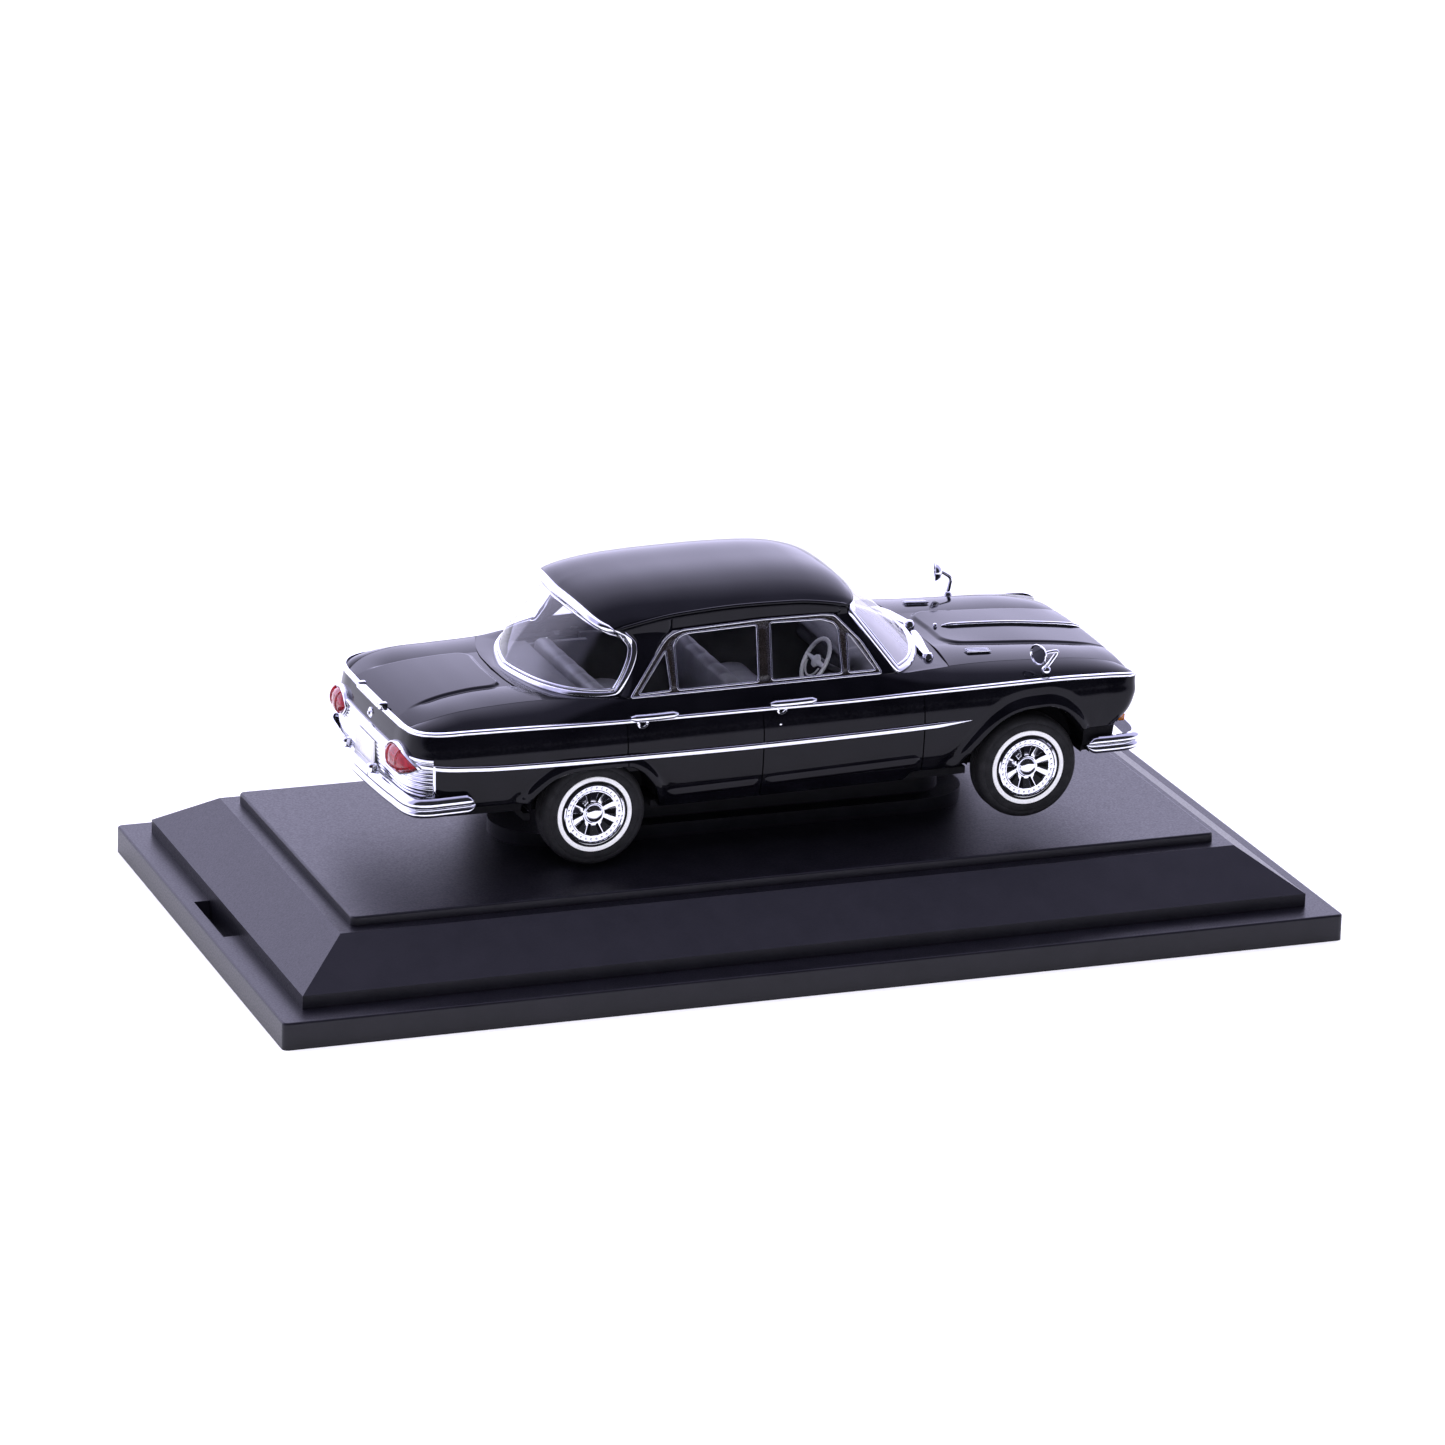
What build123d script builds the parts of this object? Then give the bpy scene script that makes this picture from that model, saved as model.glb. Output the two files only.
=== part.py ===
"""Diecast collector car, 1:43 scale, screwed to its stepped display plinth.

Row frame: millimetres, +Z up, +X towards the car's nose, origin at the centre of the plinth's underside.
The car itself is drawn in a level frame of its own: origin midway between the axles at tyre level,
x forward, y to the car's left, z up. CAR_PLACE moves every car part on to the plinth in one step.
"""
from build123d import *
import math
import os

# ---------------------------------------------------------------- plinth
SLAB = (150.0, 80.0)
SLAB_TOP = 3.72
STEP = (142.3, 71.4)
STEP_TOP = 5.57
SLOPE_TOP_SIZE = (127.4, 55.8)
SLOPE_TOP = 10.66
DECK = (123.1, 52.0)
PLINTH_HEIGHT = 12.0
UNDERSIDE = (138.0, 67.0)
UNDERSIDE_TOP_SIZE = (119.0, 50.0)
UNDERSIDE_STRAIGHT = 3.4
UNDERSIDE_CEILING = 9.8
COVER_SLOT = (2.2, 14.1, 2.6)
SCREW_X = (-20.0, 20.0)
BOSS_RADIUS = 3.6
BOSS_BORE = 1.55
SCREW_HEAD_RADIUS = 2.4
SCREW_HEAD_SEAT = 7.0
PAD_BASE = (68.0, 15.0, 2.0)
PAD_STEM = (53.0, 10.0)
PAD_STEM_CENTRE = 4.2
SLAB_CORNER = 0.8
EDGE_ROUND = 0.3

# ---------------------------------------------------------------- car, overall
CAR_PLACE = Location((5.75, 0.0, 13.37), (0.0, -0.811, 0.0))
HALF_WHEELBASE = 31.17
TYRE_RADIUS = 7.3
TYRE_OUTER_Y = 18.3
TYRE_INNER_Y = 14.1
RIM_RADIUS = 4.3
AXLE_RADIUS = 0.8
RUNNING_CLEARANCE = 0.05
SHELL_WALL = 1.2
ROOF_WALL = 0.9
ROOF_EDGE_Z = 31.1
CAVITY_X = (-54.6, 43.6)
GLASS_RECESS = 0.15
GLASS_THICKNESS = 0.5
FAR = 40.0
STANDING = (Align.CENTER, Align.CENTER, Align.MIN)

# Cross-section of the lower body, centre to sill, as (y, z).
BODY_SECTION = [
    (0.0, 23.2), (8.0, 23.0), (14.9, 22.3), (17.2, 21.3), (18.5, 20.4), (18.8, 19.6),
    (19.2, 17.0), (19.35, 15.2), (19.1, 11.5), (18.8, 10.2), (18.6, 8.2), (17.8, 7.5),
]
# Side view of the lower body, as (x, z): roofline side first from the tail, then the underside.
BODY_TOP_LINE = [
    (-56.2, 11.5), (-55.9, 15.0), (-56.3, 20.0), (-54.5, 21.0), (-50.0, 22.2), (-44.0, 22.9),
    (-38.0, 23.2), (20.0, 23.2), (30.0, 22.5), (38.0, 21.7), (43.0, 20.9), (46.6, 19.9),
    (46.7, 19.3), (46.2, 16.9), (45.3, 14.5), (44.0, 11.0),
]
BODY_UNDERSIDE = [
    (41.5, 9.0), (20.0, 9.0), (14.0, 7.5), (-22.0, 7.5), (-24.0, 9.0), (-41.0, 10.2), (-54.8, 10.2),
]
# Plan view of the lower body, tail to nose, as (x, y).
BODY_PLAN = [
    (-56.4, 0.0), (-56.2, 8.0), (-55.9, 12.7), (-55.4, 15.2), (-54.4, 17.0), (-52.5, 18.3),
    (-48.0, 19.0), (-40.0, 19.4), (40.0, 19.4), (45.0, 19.2), (46.7, 18.5), (46.9, 0.0),
]
# Greenhouse outlines, tail to nose, as (x, y), each with the height that it lies at.
BELT_OUTLINE = (19.6, [
    (-39.5, 0.0), (-38.5, 5.0), (-37.0, 10.0), (-35.0, 14.0), (-31.0, 16.6), (-27.0, 18.2), (-15.0, 18.6),
    (0.0, 18.6), (10.0, 18.6), (14.0, 18.2), (17.0, 16.5), (20.0, 12.5), (21.5, 6.0), (22.0, 0.0),
])
SILL_OUTLINE = (22.6, [
    (-38.0, 0.0), (-37.0, 5.0), (-35.3, 9.8), (-33.0, 13.2), (-29.5, 15.4), (-26.3, 17.2), (-15.0, 17.3),
    (0.0, 17.3), (9.5, 17.3), (13.0, 16.5), (15.8, 14.2), (18.0, 10.5), (19.5, 5.0), (20.0, 0.0),
])
HEADER_OUTLINE = (31.4, [
    (-29.8, 0.0), (-29.4, 4.5), (-28.6, 8.5), (-27.5, 11.5), (-26.2, 13.2), (-24.0, 13.9), (-14.0, 13.9),
    (-3.0, 13.9), (3.5, 13.9), (5.6, 13.3), (6.6, 11.6), (7.4, 8.6), (8.0, 4.5), (8.2, 0.0),
])
ROOF_PLAN = [
    (-30.6, 0.0), (-30.2, 4.5), (-29.3, 8.5), (-28.2, 11.5), (-26.6, 13.6), (-24.0, 14.4),
    (3.5, 14.4), (6.0, 13.8), (7.3, 11.8), (8.1, 8.6), (8.6, 4.5), (8.8, 0.0),
]
ROOF_SECTION = [(0.0, 36.0), (5.0, 35.8), (9.0, 34.9), (12.0, 33.3), (14.0, 31.7), (14.6, 31.1)]
ROOF_TOP_LINE = [
    (-30.8, 31.1), (-30.6, 32.6), (-27.0, 34.7), (-22.0, 35.6), (-14.0, 36.0), (-6.0, 36.0), (0.0, 35.5),
    (4.5, 34.4), (7.6, 32.6), (8.9, 31.1),
]

# Wheel openings in side view, as (x, z).
FRONT_ARCH = [
    (39.3, 5.0), (39.3, 9.5), (38.8, 11.6), (38.0, 13.3), (36.7, 14.8), (35.2, 15.8), (33.3, 16.4),
    (30.8, 16.3), (28.6, 15.9), (26.5, 15.0), (24.3, 13.2), (21.5, 10.1), (20.4, 8.9), (20.4, 5.0),
]
REAR_ARCH = [
    (-40.9, 5.0), (-40.9, 9.8), (-38.5, 12.3), (-37.0, 13.3), (-35.0, 13.9), (-32.2, 14.1), (-29.4, 14.1),
    (-26.6, 13.9), (-25.2, 13.3), (-23.8, 11.9), (-22.7, 10.2), (-22.2, 9.2), (-22.2, 5.0),
]
WHEEL_WELL_RADIUS = 8.2
WHEEL_WELL_Y = (13.2, 18.75)

# Glazed openings in side view, as (x, z).
WINDSCREEN_HOLE = [(FAR, 23.6), (12.6, 23.6), (7.0, 30.5), (FAR, 30.5)]
REAR_WINDOW_HOLE = [
    (-FAR, 23.6), (-28.6, 23.6), (-27.0, 24.8), (-24.5, 28.0), (-24.7, 29.3), (-26.0, 30.5), (-FAR, 30.5),
]
REAR_DOOR_HOLE = [(-24.4, 23.3), (-19.3, 29.1), (-17.8, 30.1), (-7.0, 30.2), (-7.8, 23.3)]
FRONT_DOOR_HOLE = [(-5.9, 23.3), (-5.1, 30.2), (3.0, 30.1), (4.6, 29.2), (8.9, 23.3)]
SIDE_FRAME_OUTER = [(-26.1, 22.7), (-19.9, 29.9), (-18.1, 30.7), (4.7, 30.7), (6.1, 29.5), (10.0, 22.7)]
SIDE_FRAME_PANES = [
    [(-24.4, 23.3), (-20.3, 28.0), (-20.3, 23.3)],
    [(-19.3, 23.3), (-19.3, 29.1), (-17.8, 30.1), (-7.0, 30.2), (-7.8, 23.3)],
    [(-5.9, 23.3), (-5.1, 30.2), (3.0, 30.1), (4.4, 29.3), (4.3, 23.3)],
    [(5.2, 23.3), (5.4, 28.1), (8.9, 23.3)],
]

# ---------------------------------------------------------------- chassis and fastenings
CHASSIS_BOTTOM_LINE = [(-52.0, 9.4), (-43.0, 9.4), (-40.5, 6.8), (38.4, 6.8), (39.9, 8.3), (43.3, 8.3)]
CHASSIS_THICKNESS = 1.0
CHASSIS_HALF_WIDTH = 16.4
WHEEL_CUTOUT = (17.0, 12.6)
BEARING_BLOCK = (5.0, 22.0, 4.0)
CHASSIS_UNDERSIDE = 6.8
FLOOR_POST_RADIUS = 2.4
FLOOR_POST_TOP = 10.6
BODY_POST_X = (-47.0, 41.7)
BODY_POST_RADIUS = 2.2
BODY_SCREW_RADIUS = 0.8
BODY_POST_LENGTH = 14.0
BODY_SCREW_DEPTH = 5.0

# ---------------------------------------------------------------- cabin
TUB_FLOOR = (10.8, 11.6)
TUB_TOP = 21.2
TUB_WALL = 0.8
TUB_WIDE = (-21.5, 14.6, 15.5)
TUB_NARROW = (-36.0, -21.5, 12.8)
SHELF = (-35.6, -30.2, 12.4, 20.9, 21.7)
FRONT_SEAT_X = -8.3
REAR_SEAT_X = -27.0
STEERING_CENTRE = (4.0, -7.5, 21.9)
STEERING_RADIUS = 3.2
STEERING_RAKE = 60.0
COLUMN_LENGTH = 6.0

# ---------------------------------------------------------------- brightwork
BELT_STRIP_Z = (19.75, 20.35)
SIDE_STRIP_Z = (14.75, 15.75)
SIDE_STRIP_X = (-54.6, 22.3)
STRIP_PROUD = 0.3
REAR_BUMPER_PLAN = [(-48.1, 19.9), (-55.2, 20.0), (-57.4, 18.8), (-58.5, 12.0), (-59.0, 0.0)]
REAR_BUMPER_Z = (9.7, 12.2)
FRONT_BUMPER_PLAN = [(39.8, 20.0), (45.2, 20.0), (47.8, 18.8), (48.8, 12.0), (49.2, 0.0)]
FRONT_BUMPER_Z = (8.7, 11.1)
BUMPER_THICKNESS = 1.1
TAIL_LAMP = (12.5, 15.7, 5.2, 1.6)
HEADLAMP_Y = (11.4, 16.0)
HEADLAMP_Z = 15.9
HEADLAMP_RADIUS = 2.15
PLATE_SIZE = (0.4, 7.8, 4.2)
MIRROR_Y = 17.7
MIRROR_FOOT = (33.6, 20.9)
MIRROR_SHAPES = {1: ((34.0, 23.2), (32.0, 24.3)), -1: ((35.2, 23.3), (32.5, 23.2))}
WIPER_ENDS = (
    ((19.0, -12.2, 22.9), (21.3, -2.0, 23.3)),
    ((21.2, 1.0, 23.3), (19.8, 11.4, 22.9)),
)
OVERRIDER_HALF_WIDTH = 0.7
AXLE_HALF_LENGTH = 15.6
WHEEL_BACK_Y = 14.4
COVER_SLOTS = 10


# ================================================================ helpers
def mirrored(half):
    """Close a half outline by its mirror image: each point is (along, across) with across >= 0 kept."""
    other = [(a, -b) for a, b in reversed(half) if b > 0]
    return half + other


def inset(points, distance):
    """Move a closed anticlockwise or clockwise outline inwards by a distance, corner for corner."""
    count = len(points)
    area = sum(points[i - 1][0] * points[i][1] - points[i][0] * points[i - 1][1] for i in range(count))
    turn = 1.0 if area > 0 else -1.0
    moved = []
    for i in range(count):
        before, here, after = points[i - 1], points[i], points[(i + 1) % count]
        first = unit(here[0] - before[0], here[1] - before[1])
        second = unit(after[0] - here[0], after[1] - here[1])
        normal_a = (-first[1] * turn, first[0] * turn)
        normal_b = (-second[1] * turn, second[0] * turn)
        scale = distance / (1.0 + normal_a[0] * normal_b[0] + normal_a[1] * normal_b[1])
        step = ((normal_a[0] + normal_b[0]) * scale, (normal_a[1] + normal_b[1]) * scale)
        moved.append((here[0] + step[0], here[1] + step[1]))
    return moved


def unit(a, b):
    """Unit vector along (a, b)."""
    size = math.hypot(a, b)
    return a / size, b / size


def face_of(points):
    """Flat face inside a closed run of 3-D points."""
    return make_face(Polyline(*points, close=True))


def prism_x(outline, low=-80.0, high=80.0):
    """Prism along X over an outline of (y, z)."""
    return extrude(face_of([(low, y, z) for y, z in outline]), amount=high - low, dir=(1, 0, 0))


def prism_y(outline, low=-FAR, high=FAR):
    """Prism along Y over an outline of (x, z)."""
    return extrude(face_of([(x, low, z) for x, z in outline]), amount=high - low, dir=(0, 1, 0))


def prism_z(outline, low=-5.0, high=60.0):
    """Prism along Z over an outline of (x, y)."""
    return extrude(face_of([(x, y, low) for x, y in outline]), amount=high - low, dir=(0, 0, 1))


def block(x_low, x_high, y_low, y_high, z_low, z_high):
    """Box between two corners."""
    size = (x_high - x_low, y_high - y_low, z_high - z_low)
    return Pos(x_low, y_low, z_low) * Box(*size, align=(Align.MIN, Align.MIN, Align.MIN))


def frustum(lower, z_low, upper, z_high):
    """Straight-sided solid between two centred rectangles."""
    faces = [Pos(0, 0, z) * Rectangle(*size) for size, z in ((lower, z_low), (upper, z_high))]
    return loft(faces, ruled=True)


def turned_y(profile):
    """Solid of revolution about the Y axis from an outline of (radius, y)."""
    return revolve(face_of([(r, y, 0.0) for r, y in profile]), Axis.Y, 360)


def rod_between(start, end, radius):
    """Round rod from one point to another."""
    direction = Vector(*end) - Vector(*start)
    plane = Plane(origin=start, z_dir=direction)
    return extrude(plane * Circle(radius), amount=direction.length)


def both_sides(shape):
    """A shape on the car's left with its mirror image on the right."""
    return shape + mirror(shape, about=Plane.XZ)


# ================================================================ outer forms that other parts follow
def body_block(depth):
    """Lower body as a full solid, shrunk all round by a depth; a negative depth grows it."""
    section = inset(mirrored([(z, y) for y, z in BODY_SECTION]), depth)
    side = inset(BODY_TOP_LINE + BODY_UNDERSIDE, depth)
    plan = inset(mirrored(BODY_PLAN), depth)
    return prism_x([(y, z) for z, y in section]) & prism_y(side) & prism_z(plan)


def lowered(top_line, wall, x_low, x_high, floor):
    """Side outline of the space under a top line: a wall's thickness below it, between two ends."""
    upper = [(min(max(x, x_low), x_high), z - wall) for x, z in top_line]
    kept = [point for i, point in enumerate(upper) if i == 0 or point[0] > upper[i - 1][0]]
    return [(kept[0][0], floor)] + kept + [(kept[-1][0], floor)]


def body_cavity():
    """Space inside the lower body, open underneath."""
    section = inset(mirrored([(z, y) for y, z in BODY_SECTION]), SHELL_WALL)
    section = [(y, -5.0 if z < 9.5 else z) for z, y in section]
    side = lowered(BODY_TOP_LINE[2:-4], SHELL_WALL, CAVITY_X[0], CAVITY_X[1], -5.0)
    plan = inset(mirrored(BODY_PLAN), SHELL_WALL)
    return prism_x(section) & prism_y(side) & prism_z(plan)


def greenhouse_block(depth):
    """Cabin from belt to roof edge as a full solid, shrunk by a depth."""
    faces = []
    for height, half in (BELT_OUTLINE, SILL_OUTLINE, HEADER_OUTLINE):
        faces.append(face_of([(x, y, height) for x, y in inset(mirrored(half), depth)]))
    return loft(faces[:2], ruled=True) + loft(faces[1:], ruled=True)


def roof_block(depth):
    """Roof panel as a full solid, grown by a negative depth."""
    section = [(y, z) for z, y in inset(mirrored([(z, y) for y, z in ROOF_SECTION]), depth)]
    side = inset(ROOF_TOP_LINE, depth)
    plan = inset(mirrored(ROOF_PLAN), depth)
    panel = prism_x(section) & prism_y(side) & prism_z(plan)
    return panel & block(-FAR, FAR, -FAR, FAR, ROOF_EDGE_Z, FAR)


def roof_cavity():
    """Space under the roof panel, down into the cabin."""
    half = [(y, z - ROOF_WALL) for y, z in ROOF_SECTION if y < 13.0]
    section = mirrored([(z, y) for y, z in half] + [(ROOF_EDGE_Z - 0.6, half[-1][0])])
    side = lowered(ROOF_TOP_LINE, ROOF_WALL, -28.6, 6.8, ROOF_EDGE_Z - 0.6)
    plan = inset(mirrored(ROOF_PLAN), 2 * ROOF_WALL)
    return prism_x([(y, z) for z, y in section]) & prism_y(side) & prism_z(plan)


# ================================================================ plinth parts
def rounded_slab(size, z_low, z_high):
    """Rectangular slab with softened upright corners and a softened top edge."""
    slab = block(-size[0] / 2, size[0] / 2, -size[1] / 2, size[1] / 2, z_low, z_high)
    slab = fillet(slab.edges().filter_by(Axis.Z), SLAB_CORNER)
    return fillet(slab.faces().sort_by(Axis.Z)[-1].edges(), EDGE_ROUND)


def make_plinth():
    """Stepped moulding, hollow underneath, with two screw bosses and a slot at each end for a cover."""
    body = rounded_slab(SLAB, 0.0, SLAB_TOP)
    body += block(-STEP[0] / 2, STEP[0] / 2, -STEP[1] / 2, STEP[1] / 2, SLAB_TOP, STEP_TOP)
    body += frustum(STEP, STEP_TOP, SLOPE_TOP_SIZE, SLOPE_TOP)
    body += rounded_slab(DECK, SLOPE_TOP, PLINTH_HEIGHT)
    hollow = block(-UNDERSIDE[0] / 2, UNDERSIDE[0] / 2, -UNDERSIDE[1] / 2, UNDERSIDE[1] / 2,
                   0.0, UNDERSIDE_STRAIGHT)
    hollow += frustum(UNDERSIDE, UNDERSIDE_STRAIGHT, UNDERSIDE_TOP_SIZE, UNDERSIDE_CEILING)
    for x in SCREW_X:
        boss = Pos(x, 0, UNDERSIDE_CEILING / 2) * Cylinder(BOSS_RADIUS, UNDERSIDE_CEILING)
        hollow -= boss
    body -= hollow
    for x in SCREW_X:
        body -= Pos(x, 0, PLINTH_HEIGHT / 2) * Cylinder(BOSS_BORE, PLINTH_HEIGHT)
        body -= Pos(x, 0, SCREW_HEAD_SEAT / 2) * Cylinder(SCREW_HEAD_RADIUS + 0.3, SCREW_HEAD_SEAT)
    depth_x, width_y, depth_z = COVER_SLOT
    for side in (-1, 1):
        centre_x = side * (STEP[0] / 2 + depth_x / 2)
        body -= Pos(centre_x, 0, SLAB_TOP - depth_z / 2) * Box(depth_x, width_y, depth_z)
    return body


def make_pad():
    """Two-step oval pad between the plinth and the car's floor pan."""
    base = extrude(Pos(0, 0, PLINTH_HEIGHT) * SlotOverall(PAD_BASE[0], PAD_BASE[1]), amount=PAD_BASE[2])
    stem_foot = Pos(PAD_STEM_CENTRE - CAR_PLACE.position.X, 0, -5.0) * SlotOverall(*PAD_STEM)
    stem = CAR_PLACE * extrude(stem_foot, amount=CHASSIS_UNDERSIDE + 5.0)
    stem = stem & block(-FAR, FAR, -FAR, FAR, PLINTH_HEIGHT, 40.0)
    pad = base + stem
    for x in SCREW_X:
        pad -= Pos(x, 0, 20.0) * Cylinder(BOSS_BORE, 30.0)
    return pad


def make_base_screws():
    """Two screws up through the plinth and pad into the floor pan's posts."""
    screws = Part()
    for x in SCREW_X:
        head = Pos(x, 0, SCREW_HEAD_SEAT - 0.9) * Cylinder(SCREW_HEAD_RADIUS, 1.8)
        head -= Pos(x, 0, SCREW_HEAD_SEAT - 1.8) * Box(0.6, 3.2, 1.2)
        head -= Pos(x, 0, SCREW_HEAD_SEAT - 1.8) * Box(3.2, 0.6, 1.2)
        screws += head + Pos(x, 0, (SCREW_HEAD_SEAT + 23.0) / 2) * Cylinder(1.3, 23.0 - SCREW_HEAD_SEAT)
    return screws


# ================================================================ car structure
def make_body_shell(outer, greenhouse, roof):
    """Cast body: lower shell, pillars and roof in one piece, open underneath, with two screw posts."""
    shell = outer + greenhouse + roof
    shell -= body_cavity()
    shell -= greenhouse_block(1.0) + roof_cavity()
    for outline in (WINDSCREEN_HOLE, REAR_WINDOW_HOLE, REAR_DOOR_HOLE, FRONT_DOOR_HOLE):
        shell -= prism_y(outline)
    for arch in (FRONT_ARCH, REAR_ARCH):
        shell -= prism_y(arch, 9.0, 25.0) + prism_y(arch, -25.0, -9.0)
    for x in (HALF_WHEELBASE, -HALF_WHEELBASE):
        well = Pos(x, 0, TYRE_RADIUS) * turned_y([
            (0.0, WHEEL_WELL_Y[0]), (WHEEL_WELL_RADIUS, WHEEL_WELL_Y[0]),
            (WHEEL_WELL_RADIUS, WHEEL_WELL_Y[1]), (0.0, WHEEL_WELL_Y[1]),
        ])
        shell -= both_sides(well)
    for x in BODY_POST_X:
        bottom = chassis_top_at(x)
        post = Pos(x, 0, bottom) * Cylinder(BODY_POST_RADIUS, BODY_POST_LENGTH, align=STANDING)
        post -= Pos(x, 0, bottom) * Cylinder(BODY_SCREW_RADIUS, BODY_SCREW_DEPTH, align=STANDING)
        shell += post & outer
    return shell


def chassis_top_at(x):
    """Height of the floor pan's upper face at a place along the car."""
    for (x_a, z_a), (x_b, z_b) in zip(CHASSIS_BOTTOM_LINE, CHASSIS_BOTTOM_LINE[1:]):
        if x_a <= x <= x_b:
            return z_a + (z_b - z_a) * (x - x_a) / (x_b - x_a) + CHASSIS_THICKNESS
    return CHASSIS_UNDERSIDE + CHASSIS_THICKNESS


def make_chassis():
    """Floor pan with axle bearing blocks, posts for the plinth screws and holes for the body screws."""
    upper = [(x, z + CHASSIS_THICKNESS) for x, z in reversed(CHASSIS_BOTTOM_LINE)]
    pan = prism_y(CHASSIS_BOTTOM_LINE + upper, -CHASSIS_HALF_WIDTH, CHASSIS_HALF_WIDTH)
    for x in (HALF_WHEELBASE, -HALF_WHEELBASE):
        cut = block(x - WHEEL_CUTOUT[0] / 2, x + WHEEL_CUTOUT[0] / 2, WHEEL_CUTOUT[1], 25.0, 0.0, 20.0)
        pan -= both_sides(cut)
        pan += Pos(x, 0, TYRE_RADIUS) * Box(*BEARING_BLOCK)
        pan -= Pos(x, 0, TYRE_RADIUS) * Rot(90, 0, 0) * Cylinder(AXLE_RADIUS + RUNNING_CLEARANCE, 60.0)
    for x in SCREW_X:
        local_x = x - CAR_PLACE.position.X
        pan += Pos(local_x, 0, (CHASSIS_UNDERSIDE + FLOOR_POST_TOP) / 2) * Cylinder(
            FLOOR_POST_RADIUS, FLOOR_POST_TOP - CHASSIS_UNDERSIDE)
    for x in BODY_POST_X:
        pan -= Pos(x, 0, chassis_top_at(x)) * Cylinder(BODY_SCREW_RADIUS + 0.15, 4.0)
    pan = CAR_PLACE * pan
    for x in SCREW_X:
        pan -= Pos(x, 0, 20.0) * Cylinder(1.35, 30.0)
    return pan


def make_chassis_screws():
    """Two small screws that hold the floor pan to the body's posts."""
    screws = Part()
    for x in BODY_POST_X:
        underside = chassis_top_at(x) - CHASSIS_THICKNESS
        head = Pos(x, 0, underside - 0.4) * Cylinder(1.5, 0.8)
        head -= Pos(x, 0, underside - 0.8) * Box(0.4, 2.0, 0.5)
        screws += head + Pos(x, 0, underside + 2.2) * Cylinder(BODY_SCREW_RADIUS - 0.05, 4.4)
    return screws


# ================================================================ cabin
def make_tub():
    """Cabin floor with its side panels and the rear parcel shelf."""
    x_low, x_high, half = TUB_WIDE
    tub = block(x_low, x_high, -half, half, TUB_FLOOR[0], TUB_TOP)
    tub -= block(x_low, x_high - TUB_WALL, -half + TUB_WALL, half - TUB_WALL, TUB_FLOOR[1], TUB_TOP)
    x_low, x_high, half = TUB_NARROW
    tub += block(x_low, x_high, -half, half, TUB_FLOOR[0], TUB_TOP)
    tub -= block(x_low + TUB_WALL, x_high + TUB_WALL, -half + TUB_WALL, half - TUB_WALL,
                 TUB_FLOOR[1], TUB_TOP)
    x_low, x_high, half, z_low, z_high = SHELF
    tub += block(x_low, x_high, -half, half, z_low, z_high)
    for x in SCREW_X:
        local_x = x - CAR_PLACE.position.X
        tub -= Pos(local_x, 0, TUB_FLOOR[0]) * Cylinder(2.0, 1.0)
    return tub


def bench_seat(x, half_width, top):
    """Bench seat: a rounded cushion and a leaning back with a rolled top, as one moulding."""
    cushion = fillet(block(x, x + 9.5, -half_width, half_width, TUB_FLOOR[1], 15.6).edges(), 1.0)
    back_outline = [
        (x - 2.2, top - 1.2), (x - 0.3, top), (x + 1.4, top - 0.8), (x + 3.0, TUB_FLOOR[1]),
        (x - 0.2, TUB_FLOOR[1]),
    ]
    back = prism_y(back_outline, -half_width, half_width)
    return cushion + fillet(back.edges(), 0.45)


def make_dashboard():
    """Padded dashboard with an instrument binnacle on the driver's side."""
    outline = [(9.2, 18.2), (9.0, 20.6), (10.0, 21.8), (13.8, 22.0), (12.2, 18.0)]
    dash = prism_y(outline, -13.6, 13.6)
    hood = fillet(block(8.6, 11.5, -10.4, -4.6, 19.2, 22.3).edges().filter_by(Axis.Z), 0.6)
    return dash + hood


def steering_plane():
    """Plane of the steering wheel's rim, its normal up the column towards the driver."""
    rake = math.radians(STEERING_RAKE)
    return Plane(origin=STEERING_CENTRE, x_dir=(0, 1, 0), z_dir=(-math.sin(rake), 0, math.cos(rake)))


def make_steering_wheel():
    """Rim, hub and two spokes."""
    rim = steering_plane() * Torus(STEERING_RADIUS, 0.3)
    hub = steering_plane() * Cylinder(0.9, 0.8)
    spokes = steering_plane() * Box(2 * STEERING_RADIUS, 0.7, 0.35)
    return rim + hub + spokes


def make_steering_column():
    """Column from the wheel's hub down behind the dashboard."""
    column = steering_plane() * (Pos(0, 0, -0.4 - COLUMN_LENGTH / 2) * Cylinder(0.55, COLUMN_LENGTH))
    return column


# ================================================================ glazing
def glass_in(hole, shell_band):
    """Pane that fills an opening, following the cabin's surface."""
    return shell_band & prism_y(hole)


def make_side_glass(shell_band, side):
    """Front and rear door panes of one side."""
    half = block(-FAR, FAR, 5.0, FAR, 0.0, FAR) if side > 0 else block(-FAR, FAR, -FAR, -5.0, 0.0, FAR)
    panes = glass_in(REAR_DOOR_HOLE, shell_band) + glass_in(FRONT_DOOR_HOLE, shell_band)
    return panes & half


def make_side_frame(skin, side):
    """Bright frame round the two door windows with its upright bars."""
    low, high = (5.0, FAR) if side > 0 else (-FAR, -5.0)
    frame = skin & prism_y(SIDE_FRAME_OUTER, low, high)
    for pane in SIDE_FRAME_PANES:
        frame -= prism_y(pane)
    return frame


def window_surround(skin, hole, width):
    """Bright moulding round an end window."""
    far_x = FAR if hole[0][0] > 0 else -FAR
    grown = inset(hole, -width)
    grown = [(far_x if abs(x) >= FAR else x, z) for x, z in grown]
    return skin & (prism_y(grown) - prism_y(hole))


# ================================================================ brightwork
def skin_band(skin, x_range, y_range, z_range):
    """Piece of a surface-following skin inside a box."""
    return skin & block(*x_range, *y_range, *z_range)


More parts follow.
